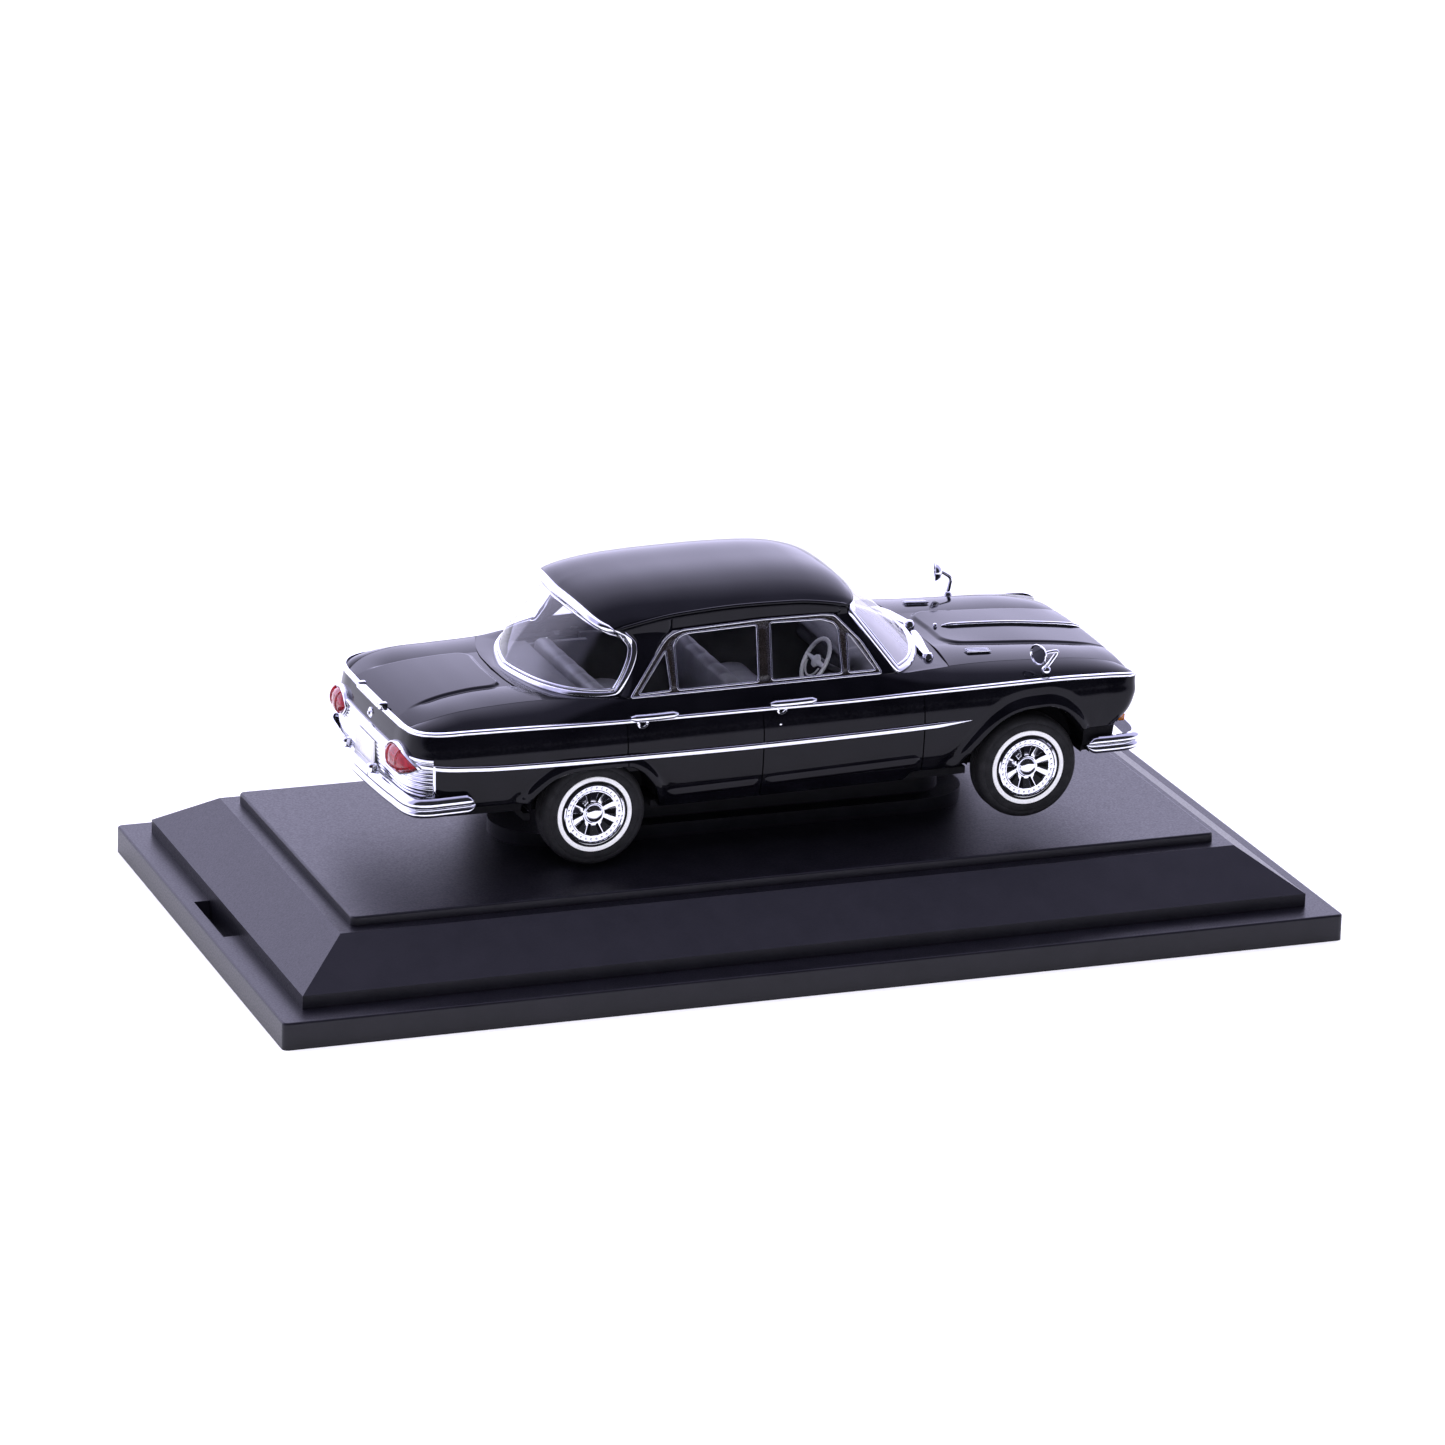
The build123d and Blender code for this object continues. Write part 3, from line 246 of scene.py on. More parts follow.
class Shape:
    """Points and faces of one piece, gathered from grids, sweeps and turned profiles."""

    def __init__(self):
        self.points = []
        self.faces = []

    def grid(self, rows, closed=False):
        """Quads over a grid of points; closed joins the last column to the first."""
        rows = np.asarray(rows, float)
        count, width = rows.shape[:2]
        base = len(self.points)
        self.points.extend(rows.reshape(-1, 3).tolist())
        for i in range(count - 1):
            for j in range(width if closed else width - 1):
                a = base + i * width + j
                b = base + i * width + (j + 1) % width
                self.faces.append((a, b, b + width, a + width))
        return self

    def prism(self, rows):
        """Closed skin over rings of points, with a face over each end."""
        return self.grid(rows, closed=True).cap(rows[0], flip=True).cap(rows[-1])

    def cap(self, ring, flip=False):
        """One face over a closed ring of points."""
        base = len(self.points)
        self.points.extend(np.asarray(ring, float).tolist())
        face = tuple(range(base, base + len(ring)))
        self.faces.append(face[::-1] if flip else face)
        return self

    def sweep(self, path, section, side, closed=False, taper=None):
        """Section of (across, out) carried along a path; side is the across direction at each point."""
        path = np.asarray(path, float)
        section = np.asarray(section, float)
        side = np.broadcast_to(unit(side), path.shape)
        along = unit(np.gradient(path, axis=0))
        if closed:
            along = unit(np.roll(path, -1, axis=0) - np.roll(path, 1, axis=0))
        side = unit(side - along * np.sum(side * along, axis=1, keepdims=True))
        out = np.cross(along, side)
        scale = np.ones(len(path)) if taper is None else np.asarray(taper, float)
        rows = (path[:, None] + side[:, None] * (section[None, :, 0, None] * scale[:, None, None])
                + out[:, None] * (section[None, :, 1, None] * scale[:, None, None]))
        if closed:
            rows = np.vstack([rows, rows[:1]])
        return self.grid(rows, closed=True) if closed else self.prism(rows)

    def turned(self, profile, centre, axis, count):
        """Profile of (radius, along) turned about an axis through a centre."""
        axis = unit(axis)
        across = unit(np.cross(axis, (0.0, 0.0, 1.0) if abs(axis[2]) < 0.9 else (1.0, 0.0, 0.0)))
        third = np.cross(axis, across)
        angles = np.linspace(0.0, 2 * math.pi, count, endpoint=False)
        profile = np.asarray(profile, float)
        ring = np.cos(angles)[:, None] * across + np.sin(angles)[:, None] * third
        rows = (np.asarray(centre, float) + profile[:, 1, None, None] * axis
                + profile[:, 0, None, None] * ring[None])
        return self.grid(rows, closed=True)

    def tube(self, path, radius, sides, closed=False):
        """Round bar along a path; the radius may change along it."""
        path = np.asarray(path, float)
        along = unit(np.gradient(path, axis=0))
        side = unit(np.cross(along, (0.0, 0.0, 1.0)) + 1e-6)
        angles = np.linspace(0, 2 * math.pi, sides, endpoint=False)
        section = np.stack([np.cos(angles), np.sin(angles)], axis=1)
        return self.sweep(path, section, side, closed, np.broadcast_to(radius, (len(path),)))

    def both(self):
        """Adds the mirror image on the other side of the car."""
        base = len(self.points)
        self.points.extend([[x, -y, z] for x, y, z in self.points[:base]])
        self.faces.extend([tuple(base + k for k in face[::-1]) for face in list(self.faces)])
        return self

    def on(self, side):
        """Leaves the piece on the car's left (side 1) or moves it to the right (side -1)."""
        if side < 0:
            self.points = [[x, -y, z] for x, y, z in self.points]
            self.faces = [face[::-1] for face in self.faces]
        return self

    def add(self, other):
        """Takes in another shape's points and faces."""
        base = len(self.points)
        self.points.extend(other.points)
        self.faces.extend([tuple(base + k for k in face) for face in other.faces])
        return self

    def make(self, name, look, replaces=(), body=BASE_BODY, wall=0.0, smooth=40.0):
        """Blender object of the shape: welded, given a wall if asked, and set on its CAD body."""
        material, slot = look
        points = np.asarray(self.points, float)
        points = points @ CAR_ARRAY[:3, :3].T + CAR_ARRAY[:3, 3]
        mesh = bpy.data.meshes.new(name)
        mesh.from_pydata(points.tolist(), [], self.faces)
        work = bmesh.new()
        work.from_mesh(mesh)
        bmesh.ops.remove_doubles(work, verts=work.verts, dist=WELD * MM)
        bmesh.ops.dissolve_degenerate(work, edges=work.edges, dist=0.0005 * MM)
        bmesh.ops.recalc_face_normals(work, faces=work.faces)
        work.to_mesh(mesh)
        work.free()
        piece = bpy.data.objects.new(name, mesh)
        bpy.context.scene.collection.objects.link(piece)
        mesh.materials.append(material)
        for face in mesh.polygons:
            face.use_smooth = True
        mesh.set_sharp_from_angle(angle=math.radians(smooth))
        if wall:
            thick = piece.modifiers.new("wall", "SOLIDIFY")
            thick.thickness = wall * MM
            thick.offset = -1.0
            thick.use_even_offset = True
        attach(piece, body)
        if replaces:
            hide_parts(*replaces)


# ================================================================ materials
def new_material(name, color, roughness, metallic=0.0, coat=0.0, specular=0.5, transmission=0.0, ior=1.5):
    """Principled material with its plain settings on the shader's own sockets."""
    material = bpy.data.materials.new(name)
    material.use_nodes = True
    shader = material.node_tree.nodes["Principled BSDF"]
    shader.inputs["Base Color"].default_value = (*color, 1.0)
    shader.inputs["Roughness"].default_value = roughness
    shader.inputs["Metallic"].default_value = metallic
    shader.inputs["Coat Weight"].default_value = coat
    shader.inputs["Coat Roughness"].default_value = COAT_ROUGHNESS
    shader.inputs["Specular IOR Level"].default_value = specular
    shader.inputs["Transmission Weight"].default_value = transmission
    shader.inputs["IOR"].default_value = ior
    return material


def noise(material, scale, detail):
    """Noise over the object's own coordinates; scale is in features per metre."""
    nodes, links = material.node_tree.nodes, material.node_tree.links
    place = nodes.new("ShaderNodeTexCoord")
    texture = nodes.new("ShaderNodeTexNoise")
    texture.inputs["Scale"].default_value = scale
    texture.inputs["Detail"].default_value = detail
    links.new(place.outputs["Object"], texture.inputs["Vector"])
    return texture


def ramp(tree, value, stops):
    """Colour ramp over a value in a node tree; stops are (position, grey or colour)."""
    node = tree.nodes.new("ShaderNodeValToRGB")
    elements = node.color_ramp.elements
    while len(elements) < len(stops):
        elements.new(0.5)
    for element, (position, color) in zip(elements, stops):
        element.position = position
        element.color = (*color, 1.0) if np.ndim(color) else (color, color, color, 1.0)
    tree.links.new(value, node.inputs["Fac"])
    return node.outputs["Color"]


def vary(material, socket, source, stops):
    """Lets a shader socket follow a texture through a ramp."""
    tree = material.node_tree
    tree.links.new(ramp(tree, source.outputs["Fac"], stops), tree.nodes["Principled BSDF"].inputs[socket])


def bump(material, source, height, strength):
    """Surface relief from a texture, its height in metres."""
    nodes, links = material.node_tree.nodes, material.node_tree.links
    relief = nodes.new("ShaderNodeBump")
    relief.inputs["Strength"].default_value = strength
    relief.inputs["Distance"].default_value = height
    links.new(source.outputs["Fac"], relief.inputs["Height"])
    links.new(relief.outputs["Normal"], nodes["Principled BSDF"].inputs["Normal"])


def paint_material():
    """Deep black lacquer with a faint violet cast, long soft waves and a clear coat."""
    material = new_material("body_lacquer", (0.004, 0.004, 0.006), 0.1, ior=1.27)
    waves = noise(material, 220.0, 1.0)
    bump(material, waves, 0.00002, 0.12)
    fine = noise(material, 2600.0, 2.0)
    vary(material, "Roughness", fine, [(0.3, 0.05), (0.7, 0.12)])
    vary(material, "Base Color", waves, [(0.3, (0.0015, 0.0015, 0.0025)), (0.7, (0.003, 0.003, 0.0045))])
    return material


def chrome_material():
    """Bright plated trim with faint plating waves and slight cloudiness."""
    material = new_material("bright_trim", (0.82, 0.83, 0.87), 0.07, metallic=1.0)
    waves = noise(material, 900.0, 2.0)
    bump(material, waves, 0.00001, 0.12)
    cloud = noise(material, 1500.0, 3.0)
    vary(material, "Roughness", cloud, [(0.3, 0.045), (0.75, 0.13)])
    vary(material, "Base Color", cloud, [(0.3, (0.84, 0.85, 0.89)), (0.75, (0.75, 0.76, 0.8))])
    return material


def rubber_material(name, dark, light):
    """Soft moulded rubber with a fine grain."""
    material = new_material(name, dark, 0.7, specular=0.35)
    grain = noise(material, 5200.0, 4.0)
    bump(material, grain, 0.00005, 0.35)
    vary(material, "Base Color", grain, [(0.3, dark), (0.7, light)])
    vary(material, "Roughness", noise(material, 700.0, 3.0), [(0.3, 0.62), (0.7, 0.85)])
    return material


def plastic_material(name, dark, light, roughness, gloss=0.5):
    """Moulded plastic with a fine spark-eroded grain and small changes of gloss."""
    material = new_material(name, dark, roughness, specular=gloss)
    grain = noise(material, 3800.0, 5.0)
    bump(material, grain, 0.00004, 0.3)
    vary(material, "Base Color", noise(material, 260.0, 4.0), [(0.3, dark), (0.7, light)])
    vary(material, "Roughness", grain, [(0.3, roughness - 0.06), (0.7, roughness + 0.1)])
    return material


def glass_material(name, tint):
    """Thin clear moulded glazing: mostly see-through, with a gloss and faint moulding waves."""
    material = new_material(name, tint, 0.02, coat=1.0, transmission=1.0, ior=1.02)
    waves = noise(material, 300.0, 2.0)
    bump(material, waves, 0.000002, 0.03)
    vary(material, "Roughness", waves, [(0.3, 0.02), (0.7, 0.04)])
    return material


def screen_material():
    """Windscreen glazing: partly see-through, its pale violet colour a painted reflection of the bright
    surroundings, under a gloss coat.
    """
    # Pale violet base colour at half cover: painted reflection of the surroundings on clear glass.
    material = new_material("windscreen_painted_sheen", (0.74, 0.72, 0.88), 0.08, coat=1.0)
    material.node_tree.nodes["Principled BSDF"].inputs["Alpha"].default_value = 0.48
    waves = noise(material, 120.0, 1.0)
    # The painted reflection brightens and dims in patches through the noise.
    vary(material, "Base Color", waves, [(0.35, (0.72, 0.7, 0.84)), (0.7, (0.88, 0.86, 0.98))])
    return material


def lens_material(name, color, deep):
    """Coloured lamp lens: see-through plastic with depth of colour and a fine prism relief."""
    material = new_material(name, color, 0.08, transmission=0.35, coat=0.4, ior=1.49)
    waves = noise(material, 1800.0, 2.0)
    bump(material, waves, 0.00004, 0.25)
    vary(material, "Base Color", waves, [(0.3, deep), (0.7, color)])
    return material


# ================================================================ body surfaces, left half
INNER_LINE = [(46.6, 17.6, 19.2), (46.4, 16.4, 19.25), (45.7, 15.4, 19.65), (44.7, 15.0, 20.05),
              (42.7, 14.85, 20.55), (39.0, 14.8, 21.1), (33.0, 14.8, 21.5), (27.0, 14.8, 21.8),
              (21.0, 15.4, 22.0), (18.5, 15.9, 22.05), (16.0, 16.3, 22.1), (13.2, 16.9, 22.2),
              (9.8, 17.35, 22.5), (0.0, 17.4, 22.6), (-14.0, 17.4, 22.6), (-26.3, 17.35, 22.6),
              (-28.5, 16.9, 22.7), (-32.0, 15.9, 22.75), (-37.0, 14.4, 22.65), (-43.5, 14.2, 22.5),
              (-49.7, 14.5, 22.15), (-53.0, 14.2, 21.4), (-54.5, 13.6, 20.8), (-55.5, 12.9, 20.25)]
FRONT_LEAN = [(11.0, 4.6), (12.6, 3.2), (13.6, 2.1), (14.5, 1.4), (15.6, 0.9), (16.9, 0.5), (18.4, 0.3),
              (19.3, 0.0)]
BONNET_REAR = [(0.0, 21.3), (8.8, 20.9), (15.6, 20.2)]
BONNET_FRONT = [(0.0, 46.9), (5.0, 46.85), (10.0, 46.7), (15.6, 46.35)]
BONNET_CENTRE_Z = [(20.0, 22.55), (25.0, 22.42), (34.0, 21.95), (40.0, 21.3), (44.0, 20.75), (46.0, 20.35),
                   (47.0, 20.0)]
BONNET_CREASE = [(20.0, 7.25), (29.7, 7.43), (36.8, 7.7), (43.5, 8.1), (47.0, 8.7)]
BONNET_CREASE_Z = [(20.0, 22.75), (22.5, 22.65), (29.7, 22.12), (36.8, 21.6), (43.5, 20.75), (46.9, 19.9)]
LID_FRONT = [(0.0, -39.7), (4.5, -39.5), (8.5, -38.9), (12.0, -37.9), (14.4, -37.0)]
LID_REAR = [(0.0, -56.1), (4.0, -56.1), (9.4, -56.0), (12.9, -55.6), (14.5, -55.4)]
LID_CREASE = [(-56.1, 9.2), (-53.3, 8.6), (-48.0, 7.8), (-44.0, 7.5), (-39.0, 7.45)]
LID_CREASE_Z = [(-56.1, 20.2), (-55.0, 20.9), (-53.3, 21.65), (-51.0, 22.25), (-48.0, 22.7), (-44.0, 22.98),
                (-39.0, 23.05)]
WINDOW_LINE = [(-38.2, 0.0, 22.75), (-37.6, 3.6, 22.7), (-35.8, 9.4, 22.65), (-33.2, 13.2, 22.6),
               (-30.0, 15.2, 22.6), (-27.3, 15.6, 22.6)]
SCREEN_LINE = [(19.9, 0.0, 22.55), (19.6, 2.5, 22.55), (18.1, 8.3, 22.45), (17.0, 10.9, 22.4),
               (15.0, 14.2, 22.35), (12.3, 16.95, 22.3)]
RAIL_Z = [(-27.0, 31.15), (-26.3, 31.3), (-17.9, 32.6), (-9.4, 32.95), (-1.5, 32.75), (4.0, 32.0),
          (6.1, 31.5)]
ROOF_CENTRE_Z = [(0.0, 33.3), (0.02, 34.1), (0.06, 34.75), (0.13, 35.3), (0.24, 35.7), (0.38, 35.85),
                 (0.55, 35.85), (0.7, 35.7), (0.82, 35.3), (0.9, 34.6), (0.96, 33.6), (1.0, 32.3)]


def wall_stations():
    """Places along the car for the wall's columns: closer where the lower edge is steep and at door lines."""
    x = np.linspace(FRONT_X, TAIL_TURN_X, 2400)
    bottom = blend_table(x, WALL_BOTTOM)
    stations = divide(np.stack([x, bottom], axis=1), 300)[:, 0]
    cuts = [d + k for d in DOOR_LINES for k in (-0.2, -0.09, -0.05, 0.05, 0.09, 0.2)]
    kept = [s for s in stations if min(abs(s - d) for d in DOOR_LINES) > 0.25]
    return np.array(sorted(kept + cuts, reverse=True))


def belt_columns():
    """Belt outline points and outward normals, front tip to the middle of the tail."""
    line = smooth_line(BELT_PLAN, 3000)
    length = run_length(line)
    side = line[:, 0] > TAIL_TURN_X
    by_x = np.interp(wall_stations(), line[side][::-1, 0], length[side][::-1])
    round_tail = np.linspace(by_x[-1] + 0.25, length[-1], 60)
    wanted = np.concatenate([np.linspace(0.0, by_x[0], 4, endpoint=False), by_x, round_tail])
    plan = np.stack([np.interp(wanted, length, line[:, k]) for k in range(2)], axis=1)
    along = unit(np.stack([np.interp(wanted, length, np.gradient(line[:, k], length)) for k in range(2)],
                          axis=1))
    normal = np.stack([-along[:, 1], along[:, 0]], axis=1) * -1.0
    normal *= np.sign(normal[:, 1:2] * plan[:, 1:2] - normal[:, :1] + 1e-6)
    normal[-1] = (-1.0, 0.0)
    z = blend_table(plan[:, 0], BELT_Z)
    return np.column_stack([plan, z]), np.column_stack([normal, np.zeros(len(normal))])


BELT, BELT_NORMAL = belt_columns()


def near_arch(x, z):
    """Distance from side-view points to the nearest wheel-arch edge."""
    best = np.full(np.shape(x), 9.0)
    for low, high in (FRONT_ARCH_X, REAR_ARCH_X):
        edge_x = np.linspace(low, high, 220)
        edge_z = blend_table(edge_x, WALL_BOTTOM)
        for i in range(0, len(edge_x), 2):
            best = np.minimum(best, np.hypot(x - edge_x[i], z - edge_z[i]))
    return best


def wall_point(column, z):
    """Point of the outer wall at a belt column and a height, before grooves and lips."""
    base, normal = BELT[column], BELT_NORMAL[column]
    offset = blend_table(z, WALL_OFFSET)
    lean = blend_table(z, FRONT_LEAN) * soft_step(base[..., 0], 38.0, 46.3)
    point = base + normal * offset[..., None]
    point[..., 2] = z
    point[..., 0] -= lean
    return point


def make_wall():
    """Outer wall from belt to sill: wheel arches with rolled lips, door lines, and a turned-in lower edge."""
    columns = np.arange(len(BELT))
    top = BELT[:, 2]
    bottom = np.where(BELT[:, 0] > TAIL_TURN_X, blend_table(BELT[:, 0], WALL_BOTTOM), TAIL_BOTTOM)
    share = np.concatenate([np.linspace(0, 0.1, 4, endpoint=False),
                            np.linspace(0.1, 0.85, 26, endpoint=False),
                            np.linspace(0.85, 1.0, 16)])
    groove = np.zeros(len(BELT))
    for d in DOOR_LINES:
        groove = np.maximum(groove, np.abs(BELT[:, 0] - d) < 0.07)
    rows = []
    for t in share:
        z = top + (bottom - top) * t
        point = wall_point(columns, z)
        distance = near_arch(BELT[:, 0], z)
        flare = 0.34 * (1.0 - soft_step(distance, 0.25, 1.5)) - 0.12 * soft_step(distance, 0.6, 1.4) * (
            1.0 - soft_step(distance, 1.4, 2.6))
        point += BELT_NORMAL * (flare - 0.3 * groove)[:, None]
        rows.append(point)
    slope = np.gradient(bottom) / np.where(np.abs(np.gradient(BELT[:, 0])) < 1e-6, -1e-6,
                                           np.gradient(BELT[:, 0]))
    slope = np.where(BELT[:, 0] > TAIL_TURN_X, slope, 0.0)
    away = unit(np.stack([slope, np.zeros_like(slope), -np.ones_like(slope)], axis=1))
    edge = rows[-1]
    for inward, outward in ((0.12, 0.12), (0.35, 0.16), (0.6, 0.05), (1.6, 0.0)):
        rows.append(edge - BELT_NORMAL * inward + away * outward)
    return np.array(rows)


def inner_columns():
    """Inner edge of the shoulder, one point for each belt column up to the lid's rear corner."""
    line = smooth_line(INNER_LINE, 2600)
    last = int(np.argmin(np.hypot(BELT[:, 0] + 55.85, BELT[:, 1] - 13.0)))
    belt = BELT[:last + 1]
    split = -50.0
    points = []
    tail_belt = belt[belt[:, 0] < split]
    tail_line = line[line[:, 0] < split]
    tail_length = run_length(tail_belt)
    line_length = run_length(tail_line)
    front = line[line[:, 0] >= split][::-1]
    for point in belt[belt[:, 0] >= split]:
        points.append([np.interp(point[0], front[:, 0], front[:, k]) for k in range(3)])
    for s in tail_length / tail_length[-1] * line_length[-1]:
        points.append([np.interp(s, line_length, tail_line[:, k]) for k in range(3)])
    return np.array(points), last


INNER, LID_CORNER = inner_columns()


def make_shoulder():
    """Rounded top of fenders, doors and quarters between belt and inner line, its inner edge turned down."""
    belt = BELT[:LID_CORNER + 1]
    outward = unit(BELT_NORMAL[:LID_CORNER + 1] * 0.75 + np.array([0.0, 0.0, 0.66]))
    width = np.linalg.norm(INNER - belt, axis=1)
    rows = []
    for t in np.linspace(0, 1, 14):
        bow = (0.075 * width * 4 * t * (1 - t))[:, None]
        rows.append(belt * (1 - t) + INNER * t + outward * bow)
    down = INNER.copy()
    down[:, 2] -= TURN_DOWN
    down[:, 1] -= 0.02
    rows.append(down)
    return np.array(rows)


def panel_shape(x, y, edge_x, crease, toward, corner=3.0):
    """1 inside a raised centre panel with rounded corners, 0 outside, with a rolled border."""
    a = (edge_x - x) * toward + corner
    b = np.abs(y) - crease + corner
    outside = np.hypot(np.maximum(a, 0), np.maximum(b, 0)) + np.minimum(np.maximum(a, b), 0) - corner
    return 1.0 - soft_step(outside, -0.32, 0.32)


def crossing(count, crease_share):
    """Shares across a panel from the centre to its side, packed around the crease."""
    inner = crease_share * (1 - (1 - np.linspace(0, 1, int(count * 0.45))) ** 1.6)
    near = np.linspace(crease_share, crease_share + 0.12, int(count * 0.25))[1:]
    outer = np.linspace(crease_share + 0.12, 1.0, int(count * 0.3) + 1)[1:]
    return np.concatenate([inner, near, outer])


def place_across(across, crease_share, crease, side):
    """Distances from the centre for shares across a panel whose crease and side lie at given places."""
    beyond = crease + (side - crease) * (across - crease_share) / (1 - crease_share)
    return np.where(across < crease_share, crease * across / crease_share, beyond)


def side_line(x, part):
    """y or z (part 1 or 2) of the inner line at a place along the car."""
    order = np.argsort(INNER[:, 0])
    return np.interp(x, INNER[order, 0], INNER[order, part])


def make_bonnet():
    """Bonnet with a raised centre panel, crowned sides and edges turned down into the shut lines."""
    across = crossing(70, BONNET_CREASE_SHARE)
    along = np.concatenate([np.linspace(0, 0.16, 26, endpoint=False),
                            np.linspace(0.16, 0.92, 60, endpoint=False),
                            np.linspace(0.92, 1.0, 14)])
    rows = []
    for v in along:
        rear = blend_table(across * BONNET_HALF, BONNET_REAR) + GAP
        front = blend_table(across * BONNET_HALF, BONNET_FRONT)
        x = rear + (front - rear) * v
        crease = blend_table(x, BONNET_CREASE)
        side = side_line(x, 1) - GAP
        y = place_across(across, BONNET_CREASE_SHARE, crease, side)
        crease_z, centre_z = blend_table(x, BONNET_CREASE_Z), blend_table(x, BONNET_CENTRE_Z)
        centre_z = np.maximum(centre_z, crease_z - 0.25)
        t = np.clip((y - crease) / (side - crease), 0, 1)
        step = PANEL_STEP * (1 - 0.7 * soft_step(x, 41.0, 46.5))
        low = (crease_z - step) * (1 - t) + side_line(x, 2) * t + 0.9 * t * (1 - t)
        s = np.clip(y / crease, 0, 1)
        high = centre_z * (1 - s * s) + crease_z * s * s
        base = np.where(y < crease, high - step, low)
        raised = panel_shape(x, y, blend_table(y, BONNET_REAR) + 2.1, crease, 1.0)
        z = base + step * raised
        z -= 1.1 * soft_step(x, 45.6, 47.4) ** 2
        rows.append(row(x, y, z))
    grid = np.array(rows)
    return edge_down(edge_down(grid, 0, (-0.02, 0, -TURN_DOWN)), 1, (0, 0.02, -TURN_DOWN))


def edge_down(grid, which, shift):
    """Adds a turned-down row before the first row (0), or column after the last column (1)."""
    shift = np.array(shift, float)
    if which == 0:
        return np.concatenate([grid[:1] + shift, grid], axis=0)
    return np.concatenate([grid, grid[:, -1:] + shift], axis=1)


def make_lid():
    """Boot lid with a raised centre panel that fades out towards the tail."""
    across = crossing(70, LID_CREASE_SHARE)
    along = np.concatenate([np.linspace(0, 0.2, 24, endpoint=False), np.linspace(0.2, 1.0, 60)])
    rows = []
    for v in along:
        front = blend_table(across * LID_HALF, LID_FRONT) - GAP
        rear = blend_table(across * LID_HALF, LID_REAR)
        x = front + (rear - front) * v
        crease = blend_table(x, LID_CREASE)
        side = side_line(x, 1) - GAP
        side = np.where(x < -55.4, 12.9, side)
        y = place_across(across, LID_CREASE_SHARE, crease, side)
        crease_z = blend_table(x, LID_CREASE_Z)
        t = np.clip((y - crease) / (side - crease), 0, 1)
        fade = soft_step(x, -54.5, -51.0)
        step = PANEL_STEP * fade
        low = (crease_z - step) * (1 - t) + side_line(x, 2) * t + 0.7 * t * (1 - t) * (0.2 + 0.8 * fade)
        s = np.clip(y / crease, 0, 1)
        base = np.where(y < crease, crease_z - step + 0.1 * (1 - s * s), low)
        raised = panel_shape(x, y, blend_table(y, LID_FRONT) - 1.3, crease, -1.0, 2.2)
        rows.append(row(x, y, base + step * raised))
    grid = np.array(rows)
    return edge_down(edge_down(grid, 0, (0.02, 0, -TURN_DOWN)), 1, (0, 0.02, -TURN_DOWN))


def make_tulip():
    """Panel between the rear window's foot and the lid, running out beside the window."""
    window = smooth_line(WINDOW_LINE, 60)
    y = np.linspace(0, LID_HALF, 40)
    x = blend_table(y, LID_FRONT)
    lid = row(x, y, np.interp(y, [0, 7.4, LID_HALF], [23.0, 22.85, 22.65]))
    beside = INNER[(INNER[:, 0] > -36.9) & (INNER[:, 0] < -26.4)][::-1]
    outer = divide(np.vstack([lid, beside]), 60)
    grid = ruled(window, outer, 12, 0.08)
    return np.concatenate([grid, grid[-1:] + np.array([0, 0, -TURN_DOWN])], axis=0)


def make_cowl():
    """Air intake panel between the bonnet and the windscreen's foot."""
    screen = smooth_line(SCREEN_LINE, 60)
    y = np.linspace(0, 15.55, 40)
    x = blend_table(y, BONNET_REAR) - 0.02
    rear = row(x, y, np.interp(y, [0, 7, BONNET_HALF], [22.35, 22.3, 22.02]))
    beside = INNER[(INNER[:, 0] < 20.0) & (INNER[:, 0] > 12.6)]
    outer = divide(np.vstack([rear, beside]), 60)
    grid = ruled(screen, outer, 12, -0.05)
    return np.concatenate([grid, grid[-1:] + np.array([0, 0, -TURN_DOWN])], axis=0)


def roof_grid():
    """Roof panel, one rail to the other."""
    rows = []
    for v in np.linspace(0, 1, 90):
        u = np.linspace(0, 1, 46) ** 0.8
        y = RAIL_Y * u
        rear, front = blend_table(y, ROOF_REAR), blend_table(y, ROOF_FRONT)
        side_z = blend_table(-26.6 + 32.7 * v, RAIL_Z)
        centre_z = blend_table(v, ROOF_CENTRE_Z)
        rows.append(row(rear + (front - rear) * v, y, centre_z - (centre_z - side_z) * u ** ROOF_CROWN))
    return np.array(rows)


def full_width(grid):
    """Half grid (first column at the centre) joined to its mirror image."""
    other = grid[:, 1:][:, ::-1] * np.array([1.0, -1.0, 1.0])
    return np.concatenate([other, grid], axis=1)


# ================================================================ cabin surfaces
def side_plane_y(z):
    """Half width of the side windows' plane at a height."""
    return np.interp(z, [19.6, 22.6, 30.6, 33.0], [18.7, 17.35, 13.6, 13.75])


def on_side(points, out):
    """(x, z) points set on the left side window plane."""
    points = np.asarray(points, float)
    return row(points[:, 0], side_plane_y(points[:, 1]) + out, points[:, 1])


PILLAR_FRONT = [(12.3, 16.95, 22.3), (9.6, 15.3, 26.0), (6.3, 13.45, 30.6), (6.0, 13.75, 31.6)]
PILLAR_REAR = [(-27.3, 15.6, 22.6), (-25.7, 15.4, 25.0), (-24.4, 14.75, 28.0), (-24.35, 14.3, 29.4),
               (-25.3, 14.0, 30.4), (-26.7, 13.8, 31.15)]
FRAME_REAR_EDGE = [(-26.2, 17.35, 22.6), (-23.0, 15.75, 26.2), (-19.9, 14.0, 29.8), (-18.85, 13.72, 30.35),
                   (-18.8, 13.76, 31.4), (-18.75, 13.8, 32.5)]
SCREEN_TOP = [(8.5, 0.0, 31.9), (8.2, 5.0, 31.75), (7.6, 9.5, 31.35), (6.9, 12.0, 31.0), (6.3, 13.35, 30.6)]
BACKLIGHT_TOP = [(-30.0, 0.0, 32.6), (-29.6, 5.0, 32.4), (-28.5, 10.0, 31.8), (-27.2, 12.6, 31.3),
                 (-26.4, 13.7, 31.0)]


